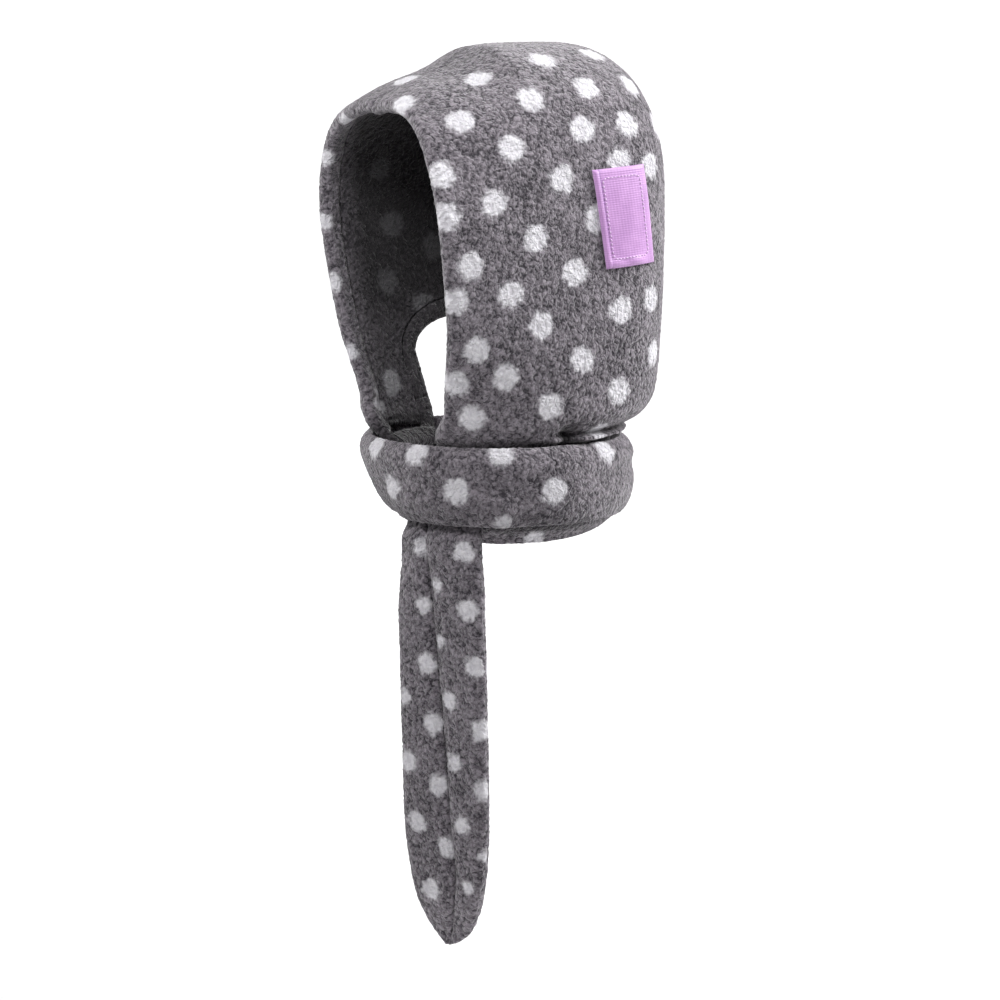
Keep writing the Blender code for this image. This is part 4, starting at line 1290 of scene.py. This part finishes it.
def satinMaterial():
    # Woven polyester satin: close ribs across the ribbon, a soft gloss along its floats and a slow
    # mottle. The ribs are drawn about four times as coarse as real ones, so that they show.
    made, tree, shader = newMaterial("woven satin ribbon", Roughness=0.45, Anisotropic=0.4,
                                     Sheen_Weight=0.25)
    place = addNode(tree, "ShaderNodeTexCoord").outputs["Object"]
    up = addNode(tree, "ShaderNodeAttribute", {"attribute_name": "labelUp"}).outputs["Fac"]
    across = addNode(tree, "ShaderNodeAttribute", {"attribute_name": "labelAcross"}).outputs["Fac"]
    ribs = addNode(tree, "ShaderNodeMath", {
        "operation": "MULTIPLY", 1: 2 * math.pi / label["rib"], 0: up,
    })
    ribs = addNode(tree, "ShaderNodeMath", {"operation": "SINE", 0: ribs})
    warp = addNode(tree, "ShaderNodeMath", {
        "operation": "MULTIPLY", 1: 2 * math.pi / (1.6 * label["rib"]), 0: across,
    })
    warp = addNode(tree, "ShaderNodeMath", {"operation": "SINE", 0: warp})
    weave = addNode(tree, "ShaderNodeMath", {"operation": "MULTIPLY_ADD", 1: 0.5, 0: warp, 2: ribs})
    mottle = addNode(tree, "ShaderNodeTexNoise", {"Scale": 1 / (9 * mm), "Detail": 2.0, "Vector": place})
    mottle = addNode(tree, "ShaderNodeMapRange", {1: 0.3, 2: 0.7, 3: 0.0, 4: 0.30, 0: mottle})
    tint = addNode(tree, "ShaderNodeMath", {"operation": "MULTIPLY_ADD", 1: 0.06, 0: weave, 2: mottle})
    # the groove's painted shadow mixes the ground toward the darker colour; weave and mottle are the
    # ribbon's own tone
    hollow = addNode(tree, "ShaderNodeAttribute", {"attribute_name": "hollow"}).outputs["Fac"]
    tint = addNode(tree, "ShaderNodeMath", {
        "operation": "MULTIPLY_ADD", 1: 0.7, "use_clamp": True, 0: hollow, 2: tint,
    })
    colour = addNode(tree, "ShaderNodeMix", {
        "data_type": "RGBA", 6: linearColour(label["ground"]), 7: linearColour(label["shadow"]), 0: tint,
    })
    tree.links.new(colour.outputs[2], shader.inputs["Base Color"])
    relief = addNode(tree, "ShaderNodeBump", {"Strength": 0.35, "Distance": 0.12 * mm, "Height": weave})
    tree.links.new(relief.outputs[0], shader.inputs["Normal"])
    return made


def threadMaterial():
    # Polyester sewing thread: twisted, with a faint gloss and small changes of tone between stitches.
    made, tree, shader = newMaterial("polyester sewing thread", Roughness=0.5, Sheen_Weight=0.3)
    place = addNode(tree, "ShaderNodeTexCoord").outputs["Object"]
    twist = addNode(tree, "ShaderNodeTexNoise", {"Scale": 1 / (1.2 * mm), "Detail": 1.0, "Vector": place})
    colour = addNode(tree, "ShaderNodeMix", {
        "data_type": "RGBA", 6: linearColour(label["thread"]), 7: linearColour(label["ground"]), 0: twist,
    })
    tree.links.new(colour.outputs[2], shader.inputs["Base Color"])
    return made


def stitchTree():
    # stitches at an even pitch along a curve
    tree = bpy.data.node_groups.new("row of stitches", "GeometryNodeTree")
    given = treeInputs(tree, pitch=label["stitchPitch"], length=label["stitchLength"],
                       width=label["stitchWidth"])
    spots = addNode(tree, "GeometryNodeCurveToPoints", {
        "mode": "LENGTH", "Curve": given["Geometry"], "Length": given["pitch"],
    })
    size = addNode(tree, "ShaderNodeCombineXYZ", {
        "X": given["width"], "Y": given["width"], "Z": given["length"],
    })
    bead = addNode(tree, "GeometryNodeMeshIcoSphere", {"Radius": 0.5, "Subdivisions": 1})
    laid = addNode(tree, "GeometryNodeInstanceOnPoints", {
        "Points": spots.outputs["Points"], "Instance": bead.outputs["Mesh"],
        "Rotation": spots.outputs["Rotation"], "Scale": size,
    })
    whole = addNode(tree, "GeometryNodeRealizeInstances", {"Geometry": laid})
    dressed = addNode(tree, "GeometryNodeSetMaterial", {"Geometry": whole, "Material": given["material"]})
    addNode(tree, "NodeGroupOutput", {"Geometry": dressed})
    return tree


def labelStitches():
    # a plain stitched border inside the label's edge, joined to the label
    halfA, halfB = label["width"] / 2 - label["stitchInset"], label["height"] / 2 - label["stitchInset"]
    corner = label["stitchCorner"]
    path = []
    for signA, signB, start in ((1, 1, 0.0), (-1, 1, 0.5), (-1, -1, 1.0), (1, -1, 1.5)):
        for turn in np.linspace(start, start + 0.5, 7) * math.pi:
            path.append((signA * (halfA - corner) + corner * math.cos(turn),
                         signB * (halfB - corner) + corner * math.sin(turn)))
    path = np.array(path + path[:1])
    steps = np.concatenate([[0.0], np.cumsum(np.linalg.norm(np.diff(path, axis=0), axis=1))])
    wanted = np.linspace(0, steps[-1], 161)[:-1]
    across, up = (np.interp(wanted, steps, path[:, i]) for i in (0, 1))
    line = labelPoint(across, up, labelLift(across, up) + label["stitchLift"]) + [0.0, 0.0, hood["wall"]]
    curve = bpy.data.curves.new("labelBorder", "CURVE")
    curve.dimensions = "3D"
    spline = curve.splines.new("POLY")
    spline.points.add(len(line) - 1)
    spline.points.foreach_set("co", np.column_stack([line, np.ones(len(line))]).ravel())
    spline.use_cyclic_u = True
    obj = bpy.data.objects.new("labelBorder", curve)
    bpy.context.scene.collection.objects.link(obj)
    made = runTree(obj, stitchTree(), {"material": threadMaterial()})
    bpy.data.objects.remove(obj)
    stitches = bpy.data.objects.new("labelStitches", made)
    bpy.context.scene.collection.objects.link(stitches)
    return stitches


def joinPieces(kept, added):
    pair = [kept, added]
    with bpy.context.temp_override(active_object=kept, object=kept, selected_objects=pair,
                                   selected_editable_objects=pair):
        bpy.ops.object.join()


wovenLabel = makeLabel()
wovenLabel.data.materials.append(satinMaterial())
joinPieces(wovenLabel, labelStitches())
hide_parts("woven_label")
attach(wovenLabel, "root")
print("label ready")


# light and stage

lamps = {
    "key": {"place": (0.38, 0.64, 0.30), "aim": (0.05, 0, -0.08), "size": 0.40, "power": 10.2},
    "left": {"place": (-1.0, -0.9, 0.3), "aim": (0, 0, -0.1), "size": 0.8, "power": 3.0},
    "front": {"place": (0.22, -0.42, 0.30), "aim": (-0.07, -0.05, -0.08), "size": 0.25, "power": 3.0},
}


def addLight(name, place, aim, size, power):
    data = bpy.data.lights.new(name, "AREA")
    data.shape = "DISK"
    data.size = size
    data.energy = power
    lamp = bpy.data.objects.new(name, data)
    bpy.context.scene.collection.objects.link(lamp)
    lamp.location = place
    lamp.visible_camera = False
    lamp.rotation_euler = (Vector(aim) - Vector(place)).to_track_quat("-Z", "Y").to_euler()


stage = {
    # how strongly the paper glows in front and behind: painted light
    "glowFront": 0.02,
    "glowBack": 0.78,
    "glowFrom": -0.3,
    "glowTo": 1.6,
    "around": 0.11,
    "paper": "#f6f6f6",
    "white": "#ffffff",
    "floor": -0.60,
    "back": 2.6,
    "bend": 1.2,
    "front": 20.0,
    "wide": 20.0,
    "wall": 6.0,
}


def addStage():
    # a sweep of white paper: floor, a wide bend and a wall behind the hood as the camera sees it
    floor, back, bend = stage["floor"], stage["back"], stage["bend"]
    line = [(-stage["front"], floor)]
    for turn in np.linspace(0, math.pi / 2, 25):
        line.append((back - bend + bend * math.sin(turn), floor + bend - bend * math.cos(turn)))
    line.append((back, floor + stage["wall"]))
    points, faces = [], []
    for away, height in line:
        for side in (-stage["wide"], stage["wide"]):
            spot = -viewToward * away + viewRight * side
            points.append((spot[0], spot[1], height))
    for i in range(len(line) - 1):
        faces.append((2 * i, 2 * i + 1, 2 * i + 3, 2 * i + 2))
    mesh = bpy.data.meshes.new("paperSweep")
    mesh.from_pydata(points, [], faces)
    mesh.shade_smooth()
    obj = bpy.data.objects.new("paperSweep", mesh)
    bpy.context.scene.collection.objects.link(obj)
    # the paper is matt and white and glows, faintly in front and more towards the back: painted light,
    # which also lights the hood
    paper, tree, shader = newMaterial("white paper with painted glow", Roughness=0.9,
                                      Base_Color=linearColour(stage["paper"]),
                                      Emission_Color=linearColour(stage["white"]))
    place = addNode(tree, "ShaderNodeTexCoord").outputs["Object"]
    behind = addNode(tree, "ShaderNodeVectorMath", {
        "operation": "DOT_PRODUCT", 1: tuple(-viewToward), 0: place,
    })
    glow = addNode(tree, "ShaderNodeMapRange", {
        0: behind.outputs["Value"], 1: stage["glowFrom"], 2: stage["glowTo"], 3: stage["glowFront"],
        4: stage["glowBack"],
    })
    tree.links.new(glow.outputs[0], shader.inputs["Emission Strength"])
    mesh.materials.append(paper)
    world = bpy.data.worlds.new("studio")
    bpy.context.scene.world = world
    world.use_nodes = True
    world.node_tree.nodes["Background"].inputs[0].default_value = linearColour(stage["white"])
    world.node_tree.nodes["Background"].inputs[1].default_value = stage["around"]
    bpy.context.scene.view_settings.view_transform = "Standard"


for name, lamp in lamps.items():
    addLight(name, **lamp)
addStage()
